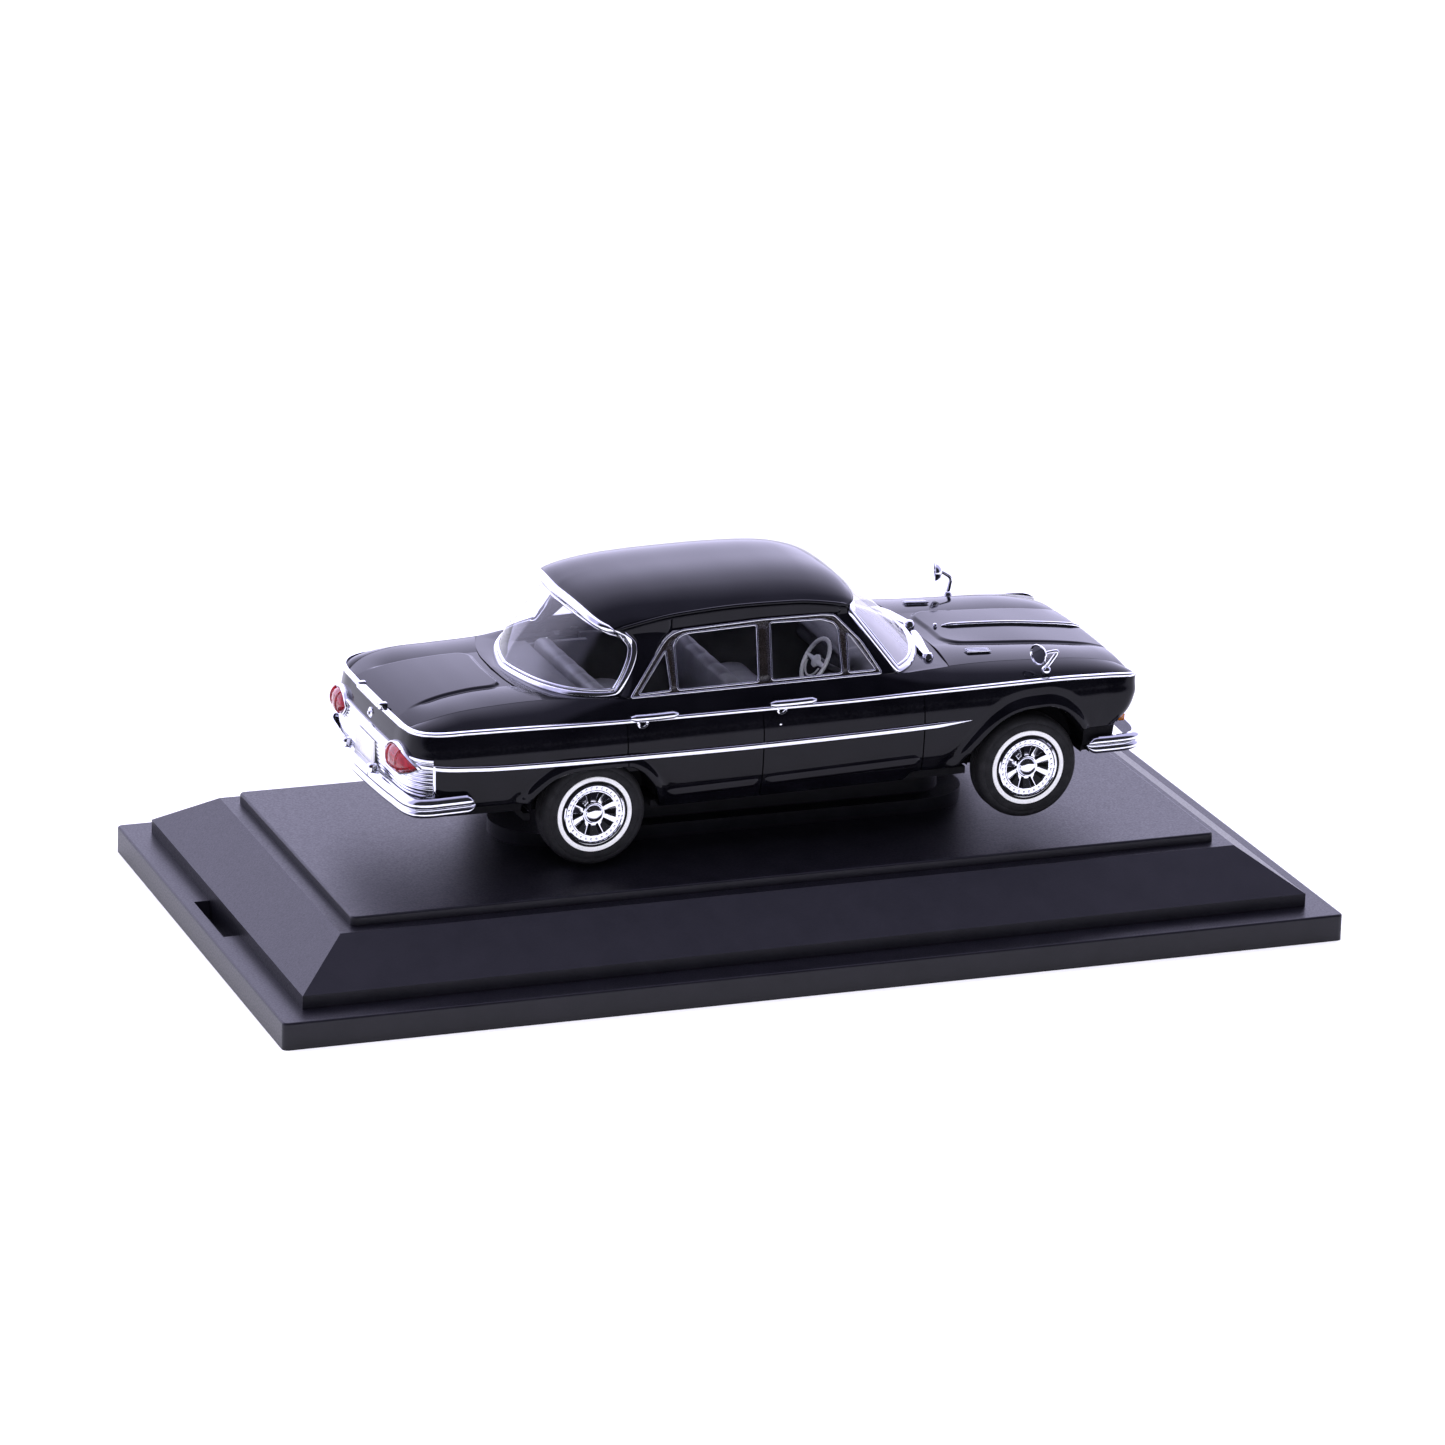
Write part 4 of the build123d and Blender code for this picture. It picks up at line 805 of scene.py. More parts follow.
def make_pillars():
    """Painted pillars and door header of the left side."""
    shape = Shape()
    rear = smooth_line(PILLAR_REAR, 30)
    shape.grid(ruled(rear, smooth_line(FRAME_REAR_EDGE, 30), 10, 0.25, (-0.4, 0.9, 0.2)))
    x = np.linspace(-18.9, 5.0, 50)
    frame_z = np.interp(x, [-18.9, -6.1, 5.0], [30.3, 30.6, 30.4])
    low = row(x, side_plane_y(frame_z) - 0.05, frame_z)
    high = row(x, RAIL_Y, blend_table(x, RAIL_Z))
    shape.grid(ruled(low, high, 6, 0.1, (0, 1, 0)))
    front = smooth_line(PILLAR_FRONT, 30)
    back = on_side([(9.6, 22.3), (7.3, 26.4), (4.6, 30.3), (4.8, 32.0)], -0.05)
    shape.grid(ruled(smooth_line(back, 30), front, 6, 0.12, (0.3, 0.95, 0)))
    pillar = on_side([(-7.9, 22.4), (-6.9, 30.6)], -0.1)
    fore = on_side([(-5.8, 22.4), (-5.0, 30.6)], -0.1)
    shape.grid(ruled(divide(pillar, 12), divide(fore, 12), 4))
    return shape


def end_glass(low_points, high_points, side_points, bulge):
    """Curved end window between its foot, head and side lines, full width."""
    low, high = smooth_line(low_points, 48), smooth_line(high_points, 48)
    outward = unit(row(np.sign(low_points[0][0]), low[:, 1] * 0.03, 0.5))
    grid = ruled(low, high, 30, bulge * (1 - np.linspace(0, 1, 48) ** 3), outward)
    edge = smooth_line(side_points, 30)
    pull = (np.linspace(0, 1, 48) ** 5)[None, :, None]
    return full_width(grid + (edge[:, None] - grid[:, -1:]) * pull)


def surface_normals(grid):
    """Unit normals of a grid of points."""
    a = np.gradient(grid, axis=0)
    b = np.gradient(grid, axis=1)
    return unit(np.cross(a, b))


PANES = [
    [(-24.9, 23.0), (-20.25, 28.1), (-20.2, 23.1)],
    [(-19.3, 23.1), (-18.95, 28.6), (-18.2, 29.5), (-17.0, 29.85), (-7.0, 30.05), (-7.8, 23.1)],
    [(-5.95, 23.1), (-5.15, 30.15), (2.2, 29.95), (3.9, 29.4), (4.4, 28.6), (4.2, 23.1)],
    [(5.05, 23.1), (5.5, 28.0), (6.2, 27.4), (9.05, 23.1)],
]


def ring_trim(shape, outline, width, height, out):
    """Rounded bright band along a closed (x, z) outline on the side window plane."""
    loop = np.array(outline + outline[:1], float)
    round_trip = np.sum(np.linalg.norm(np.diff(loop, axis=0), axis=1))
    path = on_side(soften(divide(loop, int(round_trip / 0.22))[:-1]), out)
    side = np.cross(unit(SIDE_WINDOW_NORMAL), loop_direction(path))
    shape.sweep(path, trim_section(width, height), side, closed=True)


def trim_section(width, height, base=0.15):
    """Cross-section of a bright strip: crowned outside, flat foot sunk a little into the surface."""
    angles = np.linspace(0, math.pi, 9)
    crown = [(-math.copysign(abs(math.cos(a)) ** 0.6, math.cos(a)) * width / 2,
              abs(math.sin(a)) ** 0.6 * height) for a in angles]
    return np.array([(-width / 2, -base)] + crown + [(width / 2, -base)])[::-1]


def strip(shape, path, normal, width, height, ends=0.0):
    """Crowned strip along a path, lying on a surface with the given normals; ends narrows its tips."""
    path = np.asarray(path, float)
    normal = unit(np.broadcast_to(np.asarray(normal, float), path.shape))
    along = unit(np.gradient(path, axis=0))
    taper = np.ones(len(path))
    if ends:
        length = run_length(path)
        taper = np.clip(np.minimum(length, length[-1] - length) / ends + 0.12, 0, 1) ** 0.6
    return shape.sweep(path, trim_section(width, height), np.cross(normal, along), taper=taper)


def make_side_frame():
    """Bright frame of the left side windows: a double band round each pane, and the outer band."""
    shape = Shape()
    for pane in PANES:
        ring_trim(shape, pane, 0.27, 0.2, 0.02)
    outer = [(-26.0, 22.72), (-20.5, 28.95), (-19.7, 29.6), (-18.7, 30.05), (-17.4, 30.3), (-6.1, 30.6),
             (2.4, 30.5), (4.1, 30.3), (7.35, 26.8), (9.75, 22.65)]
    ring_trim(shape, outer, 0.3, 0.26, 0.05)
    return shape


def make_frame_infill():
    """Dark bronze band between the two bright lines of the side frames, as a thin sheet with pane holes."""
    shape = Shape()
    outer = on_side([(-25.8, 22.75), (-19.8, 29.6), (-17.6, 30.25), (-6.1, 30.5), (2.4, 30.4), (4.0, 30.2),
                     (7.25, 26.7), (9.6, 22.7)], -0.02)
    bars = [((-20.25, 23.1), (-20.25, 28.2), (-19.25, 28.9), (-19.3, 23.1)),
            ((-7.8, 23.1), (-7.0, 30.1), (-5.15, 30.2), (-5.95, 23.1)),
            ((4.2, 23.1), (4.4, 28.7), (5.5, 28.1), (5.05, 23.1))]
    for bar in bars:
        a, b, c, d = (on_side([p], 0.0)[0] for p in bar)
        shape.grid(np.array([divide(np.array([a, b]), 8), divide(np.array([d, c]), 8)]))
    loop = np.vstack([outer, outer[:1]])
    inner = on_side([(-24.6, 23.1), (-19.3, 28.9), (-17.5, 29.85), (-6.1, 30.1), (2.2, 30.0), (4.2, 28.9),
                     (6.3, 27.2), (9.0, 23.1)], -0.02)
    shape.grid(np.array([loop, np.vstack([inner, inner[:1]])]))
    return shape


def pane_mesh(outline):
    """Flat pane with a fine grid edge over an (x, z) outline on the side window plane."""
    ring = on_side(outline, -0.1)
    shape = Shape()
    centre = ring.mean(axis=0)
    dense = divide(np.vstack([ring, ring[:1]]), 49)
    rows = [centre + (dense - centre) * t + np.array([0, 0.12 * (1 - t * t), 0]) for t in (0.02, 0.35, 0.7,
                                                                                           1.0)]
    return shape.grid(rows)


# ================================================================ brightwork
def make_belt_strip():
    """Bright strip along the belt: round the tail and along both sides to the fender tips."""
    shape = Shape()
    half = BELT[3:-1:2]
    normal = BELT_NORMAL[3:-1:2]
    whole = np.vstack([half, mirror_y(half[::-1])])
    normals = np.vstack([normal, mirror_y(normal[::-1])])
    whole[:, 2] += 0.1
    strip(shape, whole + normals * 0.02, normals, 0.62, 0.42, 1.2)
    return shape


LOWER_STRIP_Z = [(-55.2, 16.25), (-50.0, 15.8), (-44.8, 15.5), (-27.0, 15.2), (-7.6, 15.0), (4.0, 15.05),
                 (15.4, 15.2), (22.4, 15.45)]


def make_side_strip():
    """Lower strip of the left side, pointed at its front end."""
    shape = Shape()
    picked = (BELT[:, 0] < 22.4) & (BELT[:, 0] > -55.2) & (BELT[:, 1] > 14.5)
    columns = np.nonzero(picked)[0][::2]
    z = blend_table(BELT[columns, 0], LOWER_STRIP_Z)
    path = wall_point(columns, z) + BELT_NORMAL[columns] * 0.02
    length = run_length(path)
    taper = np.clip(np.minimum(length / 5.0 + 0.05, (length[-1] - length) / 0.8 + 0.3), 0, 1)
    along = unit(np.gradient(path, axis=0))
    return shape.sweep(path, trim_section(0.85, 0.34), np.cross(BELT_NORMAL[columns], along), taper=taper)


def make_drip_rail():
    """Rain gutter of the left side: two fine crowned lines along the roof's edge."""
    shape = Shape()
    x = np.linspace(-26.6, 6.2, 80)
    z = blend_table(x, RAIL_Z)
    for drop, width in ((0.0, 0.42), (0.42, 0.24)):
        path = row(x, RAIL_Y + 0.02, z - drop)
        strip(shape, path, (0, 1, 0.1), width, 0.24, 1.0)
    return shape


def make_visor():
    """Thick moulding along the roof's rear edge, with a finer line under it."""
    shape = Shape()
    edge = full_width(roof_grid())[0][::2]
    outward = unit(row(-1.0, edge[:, 1] * 0.03, 0.25))
    strip(shape, edge + np.array([0, 0, -0.1]), outward, 1.05, 0.6, 1.2)
    strip(shape, edge * np.array([1, 0.985, 1]) + np.array([0.55, 0, -0.95]), outward, 0.4, 0.35, 1.0)
    return shape


def window_ring(grid):
    """Closed border line of a glass grid with its outward normals."""
    normals = surface_normals(grid)
    border = np.concatenate([grid[0], grid[1:, -1], grid[-1][::-1][1:], grid[1:-1, 0][::-1]])
    facing = np.concatenate([normals[0], normals[1:, -1], normals[-1][::-1][1:], normals[1:-1, 0][::-1]])
    if np.sum(facing[:, 0]) * np.sign(np.mean(border[:, 0])) < 0:
        facing = -facing
    return border, facing


def ring_strip(shape, border, facing, width, height, inward):
    """Crowned band round a window's border, shifted inwards from it."""
    centre = border.mean(axis=0)
    border = soften(border)
    along = loop_direction(border)
    side = unit(np.cross(facing, along))
    side *= np.sign(np.sum(side * (centre - border), axis=1))[:, None]
    path = border + side * inward
    shape.sweep(path, trim_section(width, height), np.cross(facing, along), closed=True)


def bumper_section(heights):
    """Cross-section of a bumper blade as (out, z): two rolls with a groove between."""
    low, groove, high = heights
    depth = BUMPER_DEPTH
    points = []
    for z0, z1, bulge in ((low, groove, 0.75), (groove, high, 1.0)):
        for t in np.linspace(0, 1, 9):
            out = depth * 0.55 + bulge * depth * 0.45 * math.sin(math.pi * t) ** 0.7
            points.append((out, z0 + (z1 - z0) * t))
    return np.array([(0.0, low + 0.1)] + points + [(0.0, high - 0.1)])


def make_blade(plan, heights):
    """Bumper blade round a plan line, its ends rounded off."""
    section = bumper_section(heights)
    half = smooth_line(plan, 70)
    whole = np.vstack([half, (half * np.array([1, -1]))[::-1][1:]])
    along = unit(np.gradient(whole, axis=0))
    outward = np.stack([along[:, 1], -along[:, 0]], axis=1)
    outward *= np.sign(np.sum(outward * whole, axis=1))[:, None]
    length = run_length(whole)
    end = np.clip(np.minimum(length, length[-1] - length) / 1.3, 0, 1)
    shrink = np.sqrt(np.clip(1 - (1 - end) ** 2, 0.03, 1))
    mid_z = section[:, 1].mean()
    rows = []
    for i in range(len(whole)):
        out = section[:, 0] * (0.35 + 0.65 * shrink[i]) - section[:, 0].max()
        z = mid_z + (section[:, 1] - mid_z) * shrink[i]
        rows.append(row(whole[i, 0] + outward[i, 0] * out, whole[i, 1] + outward[i, 1] * out, z))
    return Shape().prism(rows)


REAR_BLADE = [(-48.1, 19.85), (-52.0, 20.0), (-55.0, 19.95), (-56.6, 19.3), (-57.5, 17.8), (-58.2, 13.0),
              (-58.7, 6.0), (-58.9, 0.0)]
FRONT_BLADE = [(39.4, 19.85), (43.0, 20.0), (45.6, 19.8), (47.1, 19.0), (48.0, 17.4), (48.7, 12.0),
               (49.1, 5.0), (49.2, 0.0)]


def rounded_box(low, high, radius):
    """Shape of a box with rounded edges between two corners."""
    low, high = np.array(low, float), np.array(high, float)
    centre, half = (low + high) / 2, (high - low) / 2
    radius = min(radius, *(half * 0.95))
    angles = np.linspace(-math.pi / 2, math.pi / 2, 2 * CORNER_STEPS + 2)
    rows, around = [], []
    for quarter, (sx, sy) in enumerate(((1, 1), (-1, 1), (-1, -1), (1, -1))):
        start = quarter * math.pi / 2
        for a in np.linspace(start, start + math.pi / 2, CORNER_STEPS + 1):
            around.append((sx * (half[0] - radius), sy * (half[1] - radius), math.cos(a), math.sin(a)))
    for a in angles:
        lift = math.copysign(half[2] - radius, a) + radius * math.sin(a)
        rows.append([(centre[0] + px + radius * math.cos(a) * c, centre[1] + py + radius * math.cos(a) * s,
                      centre[2] + lift) for px, py, c, s in around])
    return Shape().prism(rows)


def make_tail_panel():
    """Ribbed bright panel across the tail, wrapping round both corners, with its bright border."""
    shape = Shape()
    columns = np.nonzero((BELT[:, 0] < -53.0) & (BELT[:, 1] < 17.9))[0]
    rows = []
    for z in np.linspace(TAIL_PANEL_LOW, TAIL_PANEL_HIGH, 61):
        rib = 0.12 + 0.16 * abs(math.sin(math.pi * (z - TAIL_PANEL_LOW) / 0.54))
        rows.append(wall_point(columns, np.full(len(columns), z)) + BELT_NORMAL[columns] * rib)
    shape.grid(full_tail(np.array(rows)))
    for z in (TAIL_PANEL_LOW - 0.1, TAIL_PANEL_HIGH + 0.05):
        edge = full_tail(np.array([wall_point(columns, np.full(len(columns), z))]))[0]
        strip(shape, edge, tail_normals(columns), 0.4, 0.45)
    corner = wall_point(np.full(14, columns[0]), np.linspace(11.0, 16.4, 14))
    for path in (corner, mirror_y(corner)):
        strip(shape, path, np.sign(path[:, 1:2]) * np.array([[0.0, 1.0, 0.0]]), 0.4, 0.4)
    return shape


def full_tail(rows):
    """Half-tail rows (outer corner to centre) joined to their mirror image."""
    other = rows[:, :-1][:, ::-1] * np.array([1.0, -1.0, 1.0])
    return np.concatenate([rows, other], axis=1)


def tail_normals(columns):
    """Normals along a full tail row."""
    half = BELT_NORMAL[columns]
    return np.vstack([half, mirror_y(half[:-1][::-1])])


def tail_surface(y, z, out):
    """Point on the tail's surface at a place across and a height."""
    columns = np.nonzero(BELT[:, 0] < -50.0)[0][::-1]
    place = np.interp(np.abs(y), BELT[columns, 1], np.arange(len(columns)))
    low = np.minimum(place.astype(int), len(columns) - 2)
    blend = (place - low)[..., None]
    before, after = columns[low], columns[low + 1]
    z = np.asarray(z, float)
    point = wall_point(before, z) * (1 - blend) + wall_point(after, z) * blend
    normal = unit(BELT_NORMAL[before] * (1 - blend) + BELT_NORMAL[after] * blend)
    point = point + normal * np.asarray(out)[..., None]
    point[..., 1] *= np.sign(y)
    return point


def almond_outline(share, grow=0.0):
    """Lamp outline of the left side as (y, z): slim inside end, broader towards the corner."""
    y0, y1 = 9.0 - grow, 16.4 + grow
    angle = share * 2 * math.pi
    y = (y0 + y1) / 2 - np.cos(angle) * (y1 - y0) / 2
    t = np.clip((y - y0) / (y1 - y0), 0.0, 1.0)
    rise = (1.7 + grow) * np.clip(np.sin(math.pi * t ** 0.9), 0, 1) ** 0.8
    middle = 16.3 - 0.4 * t
    return y, np.where(np.sin(angle) > 0, middle + rise * 1.05, middle - rise)


def make_tail_lenses():
    """Left lamp lens: a faceted almond dome in three sections."""
    shape = Shape()
    share = np.linspace(0, 1, 72, endpoint=False)
    y, z = almond_outline(share)
    rows = []
    for ring, out in ((1.0, 0.2), (0.94, 0.75), (0.78, 1.1), (0.5, 1.28), (0.25, 1.33), (0.02, 1.34)):
        yy = 12.7 + (y - 12.7) * ring
        zz = 16.1 + (z - 16.1) * ring
        facets = 0.05 * np.abs(np.sin((yy - 9.0) * 1.9)) * (ring > 0.1) * (ring < 0.95)
        rows.append(tail_surface(yy, zz, out - facets))
    shape.grid(rows, closed=True)
    for y_bar in (11.3, 13.9):
        z_line = np.linspace(14.75, 17.65, 12)
        inside = np.clip(1 - ((z_line - 16.2) / 1.6) ** 2, 0.05, 1)
        path = tail_surface(np.full(12, y_bar), z_line, 0.3 + 1.0 * inside ** 0.5)
        shape.sweep(path, trim_section(0.3, 0.16), np.array([0.0, 1.0, 0.0]))
    return shape


def make_tail_bezel():
    """Bright hooded rim round the left lamp."""
    shape = Shape()
    share = np.linspace(0, 1, 72, endpoint=False)
    rows = []
    for grow, out in ((0.36, -0.05), (0.4, 0.3), (0.3, 0.55), (0.12, 0.6), (-0.02, 0.4), (-0.06, 0.0)):
        y, z = almond_outline(share, grow)
        hood = 0.12 * np.clip(np.sin(share * 2 * math.pi), 0, 1) * (out > 0.2)
        rows.append(tail_surface(y, z, out + hood))
    return shape.grid(rows, closed=True)


def make_bonnet_spear():
    """Thin centre spear along the bonnet with a small stud behind it."""
    shape = Shape()
    x = np.linspace(25.4, 46.2, 60)
    z = np.maximum(blend_table(x, BONNET_CENTRE_Z), blend_table(x, BONNET_CREASE_Z) - 0.25)
    path = row(x, 0.0, z + 0.02)
    strip(shape, path, (0, 0, 1), 0.46, 0.42, 1.6)
    shape.turned([(0.0, 0.5), (0.22, 0.42), (0.32, 0.2), (0.34, -0.2)], (24.5, 0, 22.45), (0, 0, 1), 24)
    return shape


def make_handle(rear, front):
    """Left pull handle: bar with rounded ends on two feet, and a ring round its lock under the rear end."""
    shape = Shape()
    x = np.linspace(rear, front, 40)
    sag = 0.15 * np.sin(np.linspace(0, math.pi, 40))
    path = row(x, 19.32 + sag, 20.55)
    shape.tube(path, 0.52 * np.clip(np.minimum(x - rear, front - x) / 0.9 + 0.25, 0, 1) ** 0.5, 14)
    for foot in (rear + 1.2, front - 1.0):
        shape.add(rounded_box((foot - 0.5, 18.5, 20.25), (foot + 0.5, 19.4, 20.85), 0.2))
    loop = [(rear + 1.7 + 0.62 * math.cos(a), 19.2, 19.75 + 0.62 * math.sin(a))
            for a in np.linspace(0, 2 * math.pi, 28, endpoint=False)]
    shape.tube(loop, 0.22, 8, closed=True)
    return shape


def make_lock():
    """Round key lock of the left front door."""
    return Shape().turned([(0.0, 0.32), (0.2, 0.3), (0.26, 0.16), (0.34, 0.26), (0.44, 0.2), (0.46, -0.3)],
                          (-5.4, 19.12, 17.5), (0, 1, 0), 28)


MIRROR_ARMS = {"left": ((34.0, 23.2), (32.0, 24.3)), "right": ((35.1, 23.3), (32.5, 23.2))}


def make_mirror(elbow, head):
    """Left fender mirror: domed foot, leaning stalk, arm and an oval head with a rolled rim."""
    foot = Shape().turned([(0.0, 0.55), (0.3, 0.5), (0.55, 0.25), (0.68, 0.0), (0.7, -0.5)],
                          (33.6, MIRROR_Y, 20.9), (0, 0.35, 0.94), 28)
    low = np.array([33.6, MIRROR_Y, 21.2])
    bend = np.array([elbow[0], MIRROR_Y + 0.05, elbow[1]])
    rim = np.array([head[0] + 0.5, MIRROR_Y + 0.1, head[1]])
    arm = [low, (low + bend) / 2 + [0.1, 0, 0], bend, (bend + rim) / 2 + [0, 0, 0.1], rim]
    foot.tube(smooth_line(arm, 40), np.linspace(0.34, 0.24, 40), 12)
    facing = unit(np.array([-1.0, 0.32, 0.0]))
    profile = [(0.0, -0.75), (0.6, -0.68), (1.15, -0.45), (1.5, -0.05), (1.62, 0.25), (1.55, 0.36),
               (1.42, 0.3), (1.38, 0.2), (0.0, 0.2)]
    head_shape = Shape().turned(profile, (0, 0, 0), facing, 44)
    points = np.array(head_shape.points)
    points[:, 2] *= 0.9
    head_shape.points = (points + np.array([head[0], MIRROR_Y + 0.1, head[1]])).tolist()
    return foot.add(head_shape)


def make_wiper(pivot, tip):
    """Chunky wiper: domed pivot and an arm that swells and then narrows to its tip."""
    pivot, tip = np.array(pivot, float), np.array(tip, float)
    shape = Shape().turned([(0.0, 0.75), (0.45, 0.68), (0.72, 0.35), (0.8, -0.1), (0.85, -0.5)], pivot,
                           (0.1, 0, 1), 28)
    side = unit(np.cross(tip - pivot, (0, 0, 1)))
    line = smooth_line([pivot + [0, 0, 0.3], pivot * 0.6 + tip * 0.4 + [0, 0, 0.5] - side * 0.3,
                        pivot * 0.2 + tip * 0.8 + [0, 0, 0.3], tip], 36)
    width = np.interp(np.linspace(0, 1, 36), [0, 0.15, 0.5, 0.9, 1.0], [0.5, 0.62, 0.75, 0.45, 0.12])
    angles = np.linspace(0, 2 * math.pi, 12)[:-1]
    section = np.stack([np.cos(angles), 0.55 * np.sin(angles)], axis=1)
    return shape.sweep(line, section, side, taper=width)


def make_door_ridge(rear, front, z_rear, z_front):
    """Pressed rib along the foot of a left door, with rounded ends."""
    shape = Shape()
    share = np.linspace(0, 1, 60)
    x = rear + (front - rear) * share
    picked = np.array([int(np.argmin(np.abs(BELT[:, 0] - a) + 50.0 * (BELT[:, 1] < 14.5))) for a in x])
    z = z_rear + (z_front - z_rear) * share
    path = wall_point(picked, z)
    path[:, 0] = x
    taper = np.sqrt(np.clip(np.minimum(x - rear, front - x) / 0.9 + 0.02, 0, 1))
    return shape.sweep(path, trim_section(1.5, 0.42, 0.3), np.array([0.0, 0.0, -1.0]), taper=taper)


def make_louvre():
    """Small bright intake grille on the left of the cowl end of the bonnet, three thin bars."""
    shape = Shape()
    for k in range(3):
        path = row(np.linspace(24.4, 28.0, 14), 10.9 + 0.42 * k, np.linspace(22.52, 22.28, 14) - 0.05 * k)
        strip(shape, path, (0, 0, 1), 0.22, 0.2, 0.4)
    return shape


# ================================================================ wheels, drawn about the Y axis
def wheel_centre(end, side):
    """Centre of a wheel's axis in the car's frame, with its outward direction."""
    return (HALF_WHEELBASE * end, 0.0, TYRE_RADIUS), (0.0, float(side), 0.0)


def from_face(face, profile):
    """Profile of (radius, height) with its heights measured from a face along the axle."""
    return [(radius, face + height) for radius, height in profile]


def make_tyre(end, side):
    """Tyre with rounded shoulders, tread grooves and fine rings on its sidewall."""
    centre, axis = wheel_centre(end, side)
    profile = from_face(TYRE_INNER, [(4.35, 0.25), (4.7, 0.02), (5.6, 0.0), (6.5, 0.12), (7.0, 0.45),
                                     (7.24, 0.9)])
    width = TYRE_OUTER - TYRE_INNER
    for share in (0.3, 0.42, 0.54, 0.66):
        y = TYRE_INNER + width * share
        profile += [(TYRE_RADIUS, y - 0.12), (TYRE_RADIUS - 0.22, y - 0.06), (TYRE_RADIUS - 0.22, y + 0.06),
                    (TYRE_RADIUS, y + 0.12)]
    profile += from_face(TYRE_OUTER, [(7.27, -0.95), (7.12, -0.5), (6.85, -0.2), (6.4, -0.04), (6.3, -0.09),
                                      (6.2, -0.02), (5.75, 0.02), (5.35, 0.0), (5.28, -0.1), (4.55, -0.1),
                                      (4.45, -0.06), (4.33, -0.25)])
    return Shape().turned(profile, centre, axis, 120)


def make_whitewall(end, side):
    """White band on the sidewall, gently crowned."""
    centre, axis = wheel_centre(end, side)
    profile = from_face(TYRE_OUTER, [(4.6, -0.12), (4.65, 0.0), (4.9, 0.03), (5.18, 0.0), (5.23, -0.12)])
    return Shape().turned(profile, centre, axis, 120)


def rim_point(end, side, radius, angle, height):
    """Point on a wheel's outer face at a radius and angle, height out from the tyre's face."""
    centre = np.array([HALF_WHEELBASE * end, 0.0, TYRE_RADIUS])
    return centre + np.array([radius * math.cos(angle), side * (TYRE_OUTER + height),
                              radius * math.sin(angle)])


def make_cover(end, side):
    """Bright wheel cover: rolled rim, ring of studs, dished face with raised spokes and a stepped cap."""
    centre, axis = wheel_centre(end, side)
    face = [(4.3, -0.3), (4.28, -0.05), (4.15, 0.05), (3.98, -0.02), (3.9, -0.3), (3.3, -0.36), (3.22, -0.2),
            (3.08, -0.22), (2.95, -0.6), (1.62, -0.95), (1.56, -0.55), (1.48, -0.4), (1.36, -0.42),
            (1.26, -0.52), (1.18, -0.3), (1.1, -0.05), (0.9, 0.1), (0.4, 0.17), (0.0, 0.18)]
    profile = from_face(TYRE_INNER, [(0.8, 0.3), (4.28, 0.3)]) + from_face(TYRE_OUTER, face)
    shape = Shape().turned(profile, centre, axis, 96)
    for k in range(STUDS):
        spot = rim_point(end, side, 3.6, 2 * math.pi * k / STUDS, -0.33)
        shape.turned([(0.0, 0.16), (0.12, 0.12), (0.18, 0.0), (0.18, -0.1)], spot, axis, 10)
    for k in range(SPOKES):
        angle = 2 * math.pi * (k + 0.5) / SPOKES
        across = np.array([-math.sin(angle), 0.0, math.cos(angle)])
        line = [rim_point(end, side, r, angle, h) for r, h in ((1.5, -0.72), (1.9, -0.68), (2.5, -0.5),
                                                               (3.1, -0.28))]
        shape.sweep(smooth_line(line, 10), trim_section(1.1, 0.14, 0.3) * np.array([1, side]), across * side,
                    taper=np.linspace(0.62, 1.25, 10))
    return shape


def make_cover_shade(end, side):
    """Dark ring laid just over the cover's dish between the spokes: painted shade in the cover's windows."""
    centre, axis = wheel_centre(end, side)
    profile = from_face(TYRE_OUTER, [(1.64, -0.94), (1.68, -0.9), (2.94, -0.56), (2.99, -0.6)])
    return Shape().turned(profile, centre, axis, 80)


def make_axle_piece(end):
    """Plain steel axle with chamfered ends."""
    half = AXLE_HALF
    profile = [(0.0, -half), (0.65, -half), (0.8, -half + 0.15), (0.8, half - 0.15), (0.65, half),
               (0.0, half)]
    return Shape().turned(profile, (HALF_WHEELBASE * end, 0, TYRE_RADIUS), (0, 1, 0), 36)


# ================================================================ cabin fittings


def make_bench(x, half_width, top, rake):
    """Moulded bench: cushion with a rolled front and a leaning back with upright flutes and a rolled top."""
    y = np.linspace(-half_width, half_width, 24 * BENCH_RIBS + 1)
    flute = 0.16 * np.abs(np.sin(np.linspace(0, math.pi * BENCH_RIBS * 2, len(y)))) ** 0.6
    edge = np.clip(np.minimum(y + half_width, half_width - y) / 0.8, 0, 1)
    round_off = np.sqrt(np.clip(1 - (1 - edge) ** 2, 0, 1))
    outline = [(-0.4, 11.7, 0), (-1.6 - rake * 0.3, top - 3.5, 0), (-2.3, top - 1.0, 0.4),
               (-2.0, top - 0.25, 1), (-1.1, top, 1), (-0.2, top - 0.3, 1), (0.4, top - 1.2, 1),
               (rake, 16.2, 0.7), (rake + 0.4, 15.7, 0.4), (7.5, 15.7, 1), (9.2, 15.3, 0.8),
               (9.7, 14.2, 0.3), (9.3, 11.7, 0)]
    line = smooth_line(outline, 70)
    rows = []
    centre = np.array([3.0, 14.0])
    for a, b, c in line:
        spread = 0.93 + 0.07 * round_off
        px = centre[0] + (a - centre[0]) * spread
        pz = np.maximum(centre[1] + (b + np.clip(c, 0, 1) * flute - centre[1]) * spread, 11.65)
        rows.append(row(x + px, y, pz))
    grid = np.array(rows)
    return Shape().grid(grid).cap(grid[:, 0]).cap(grid[:, -1], flip=True)


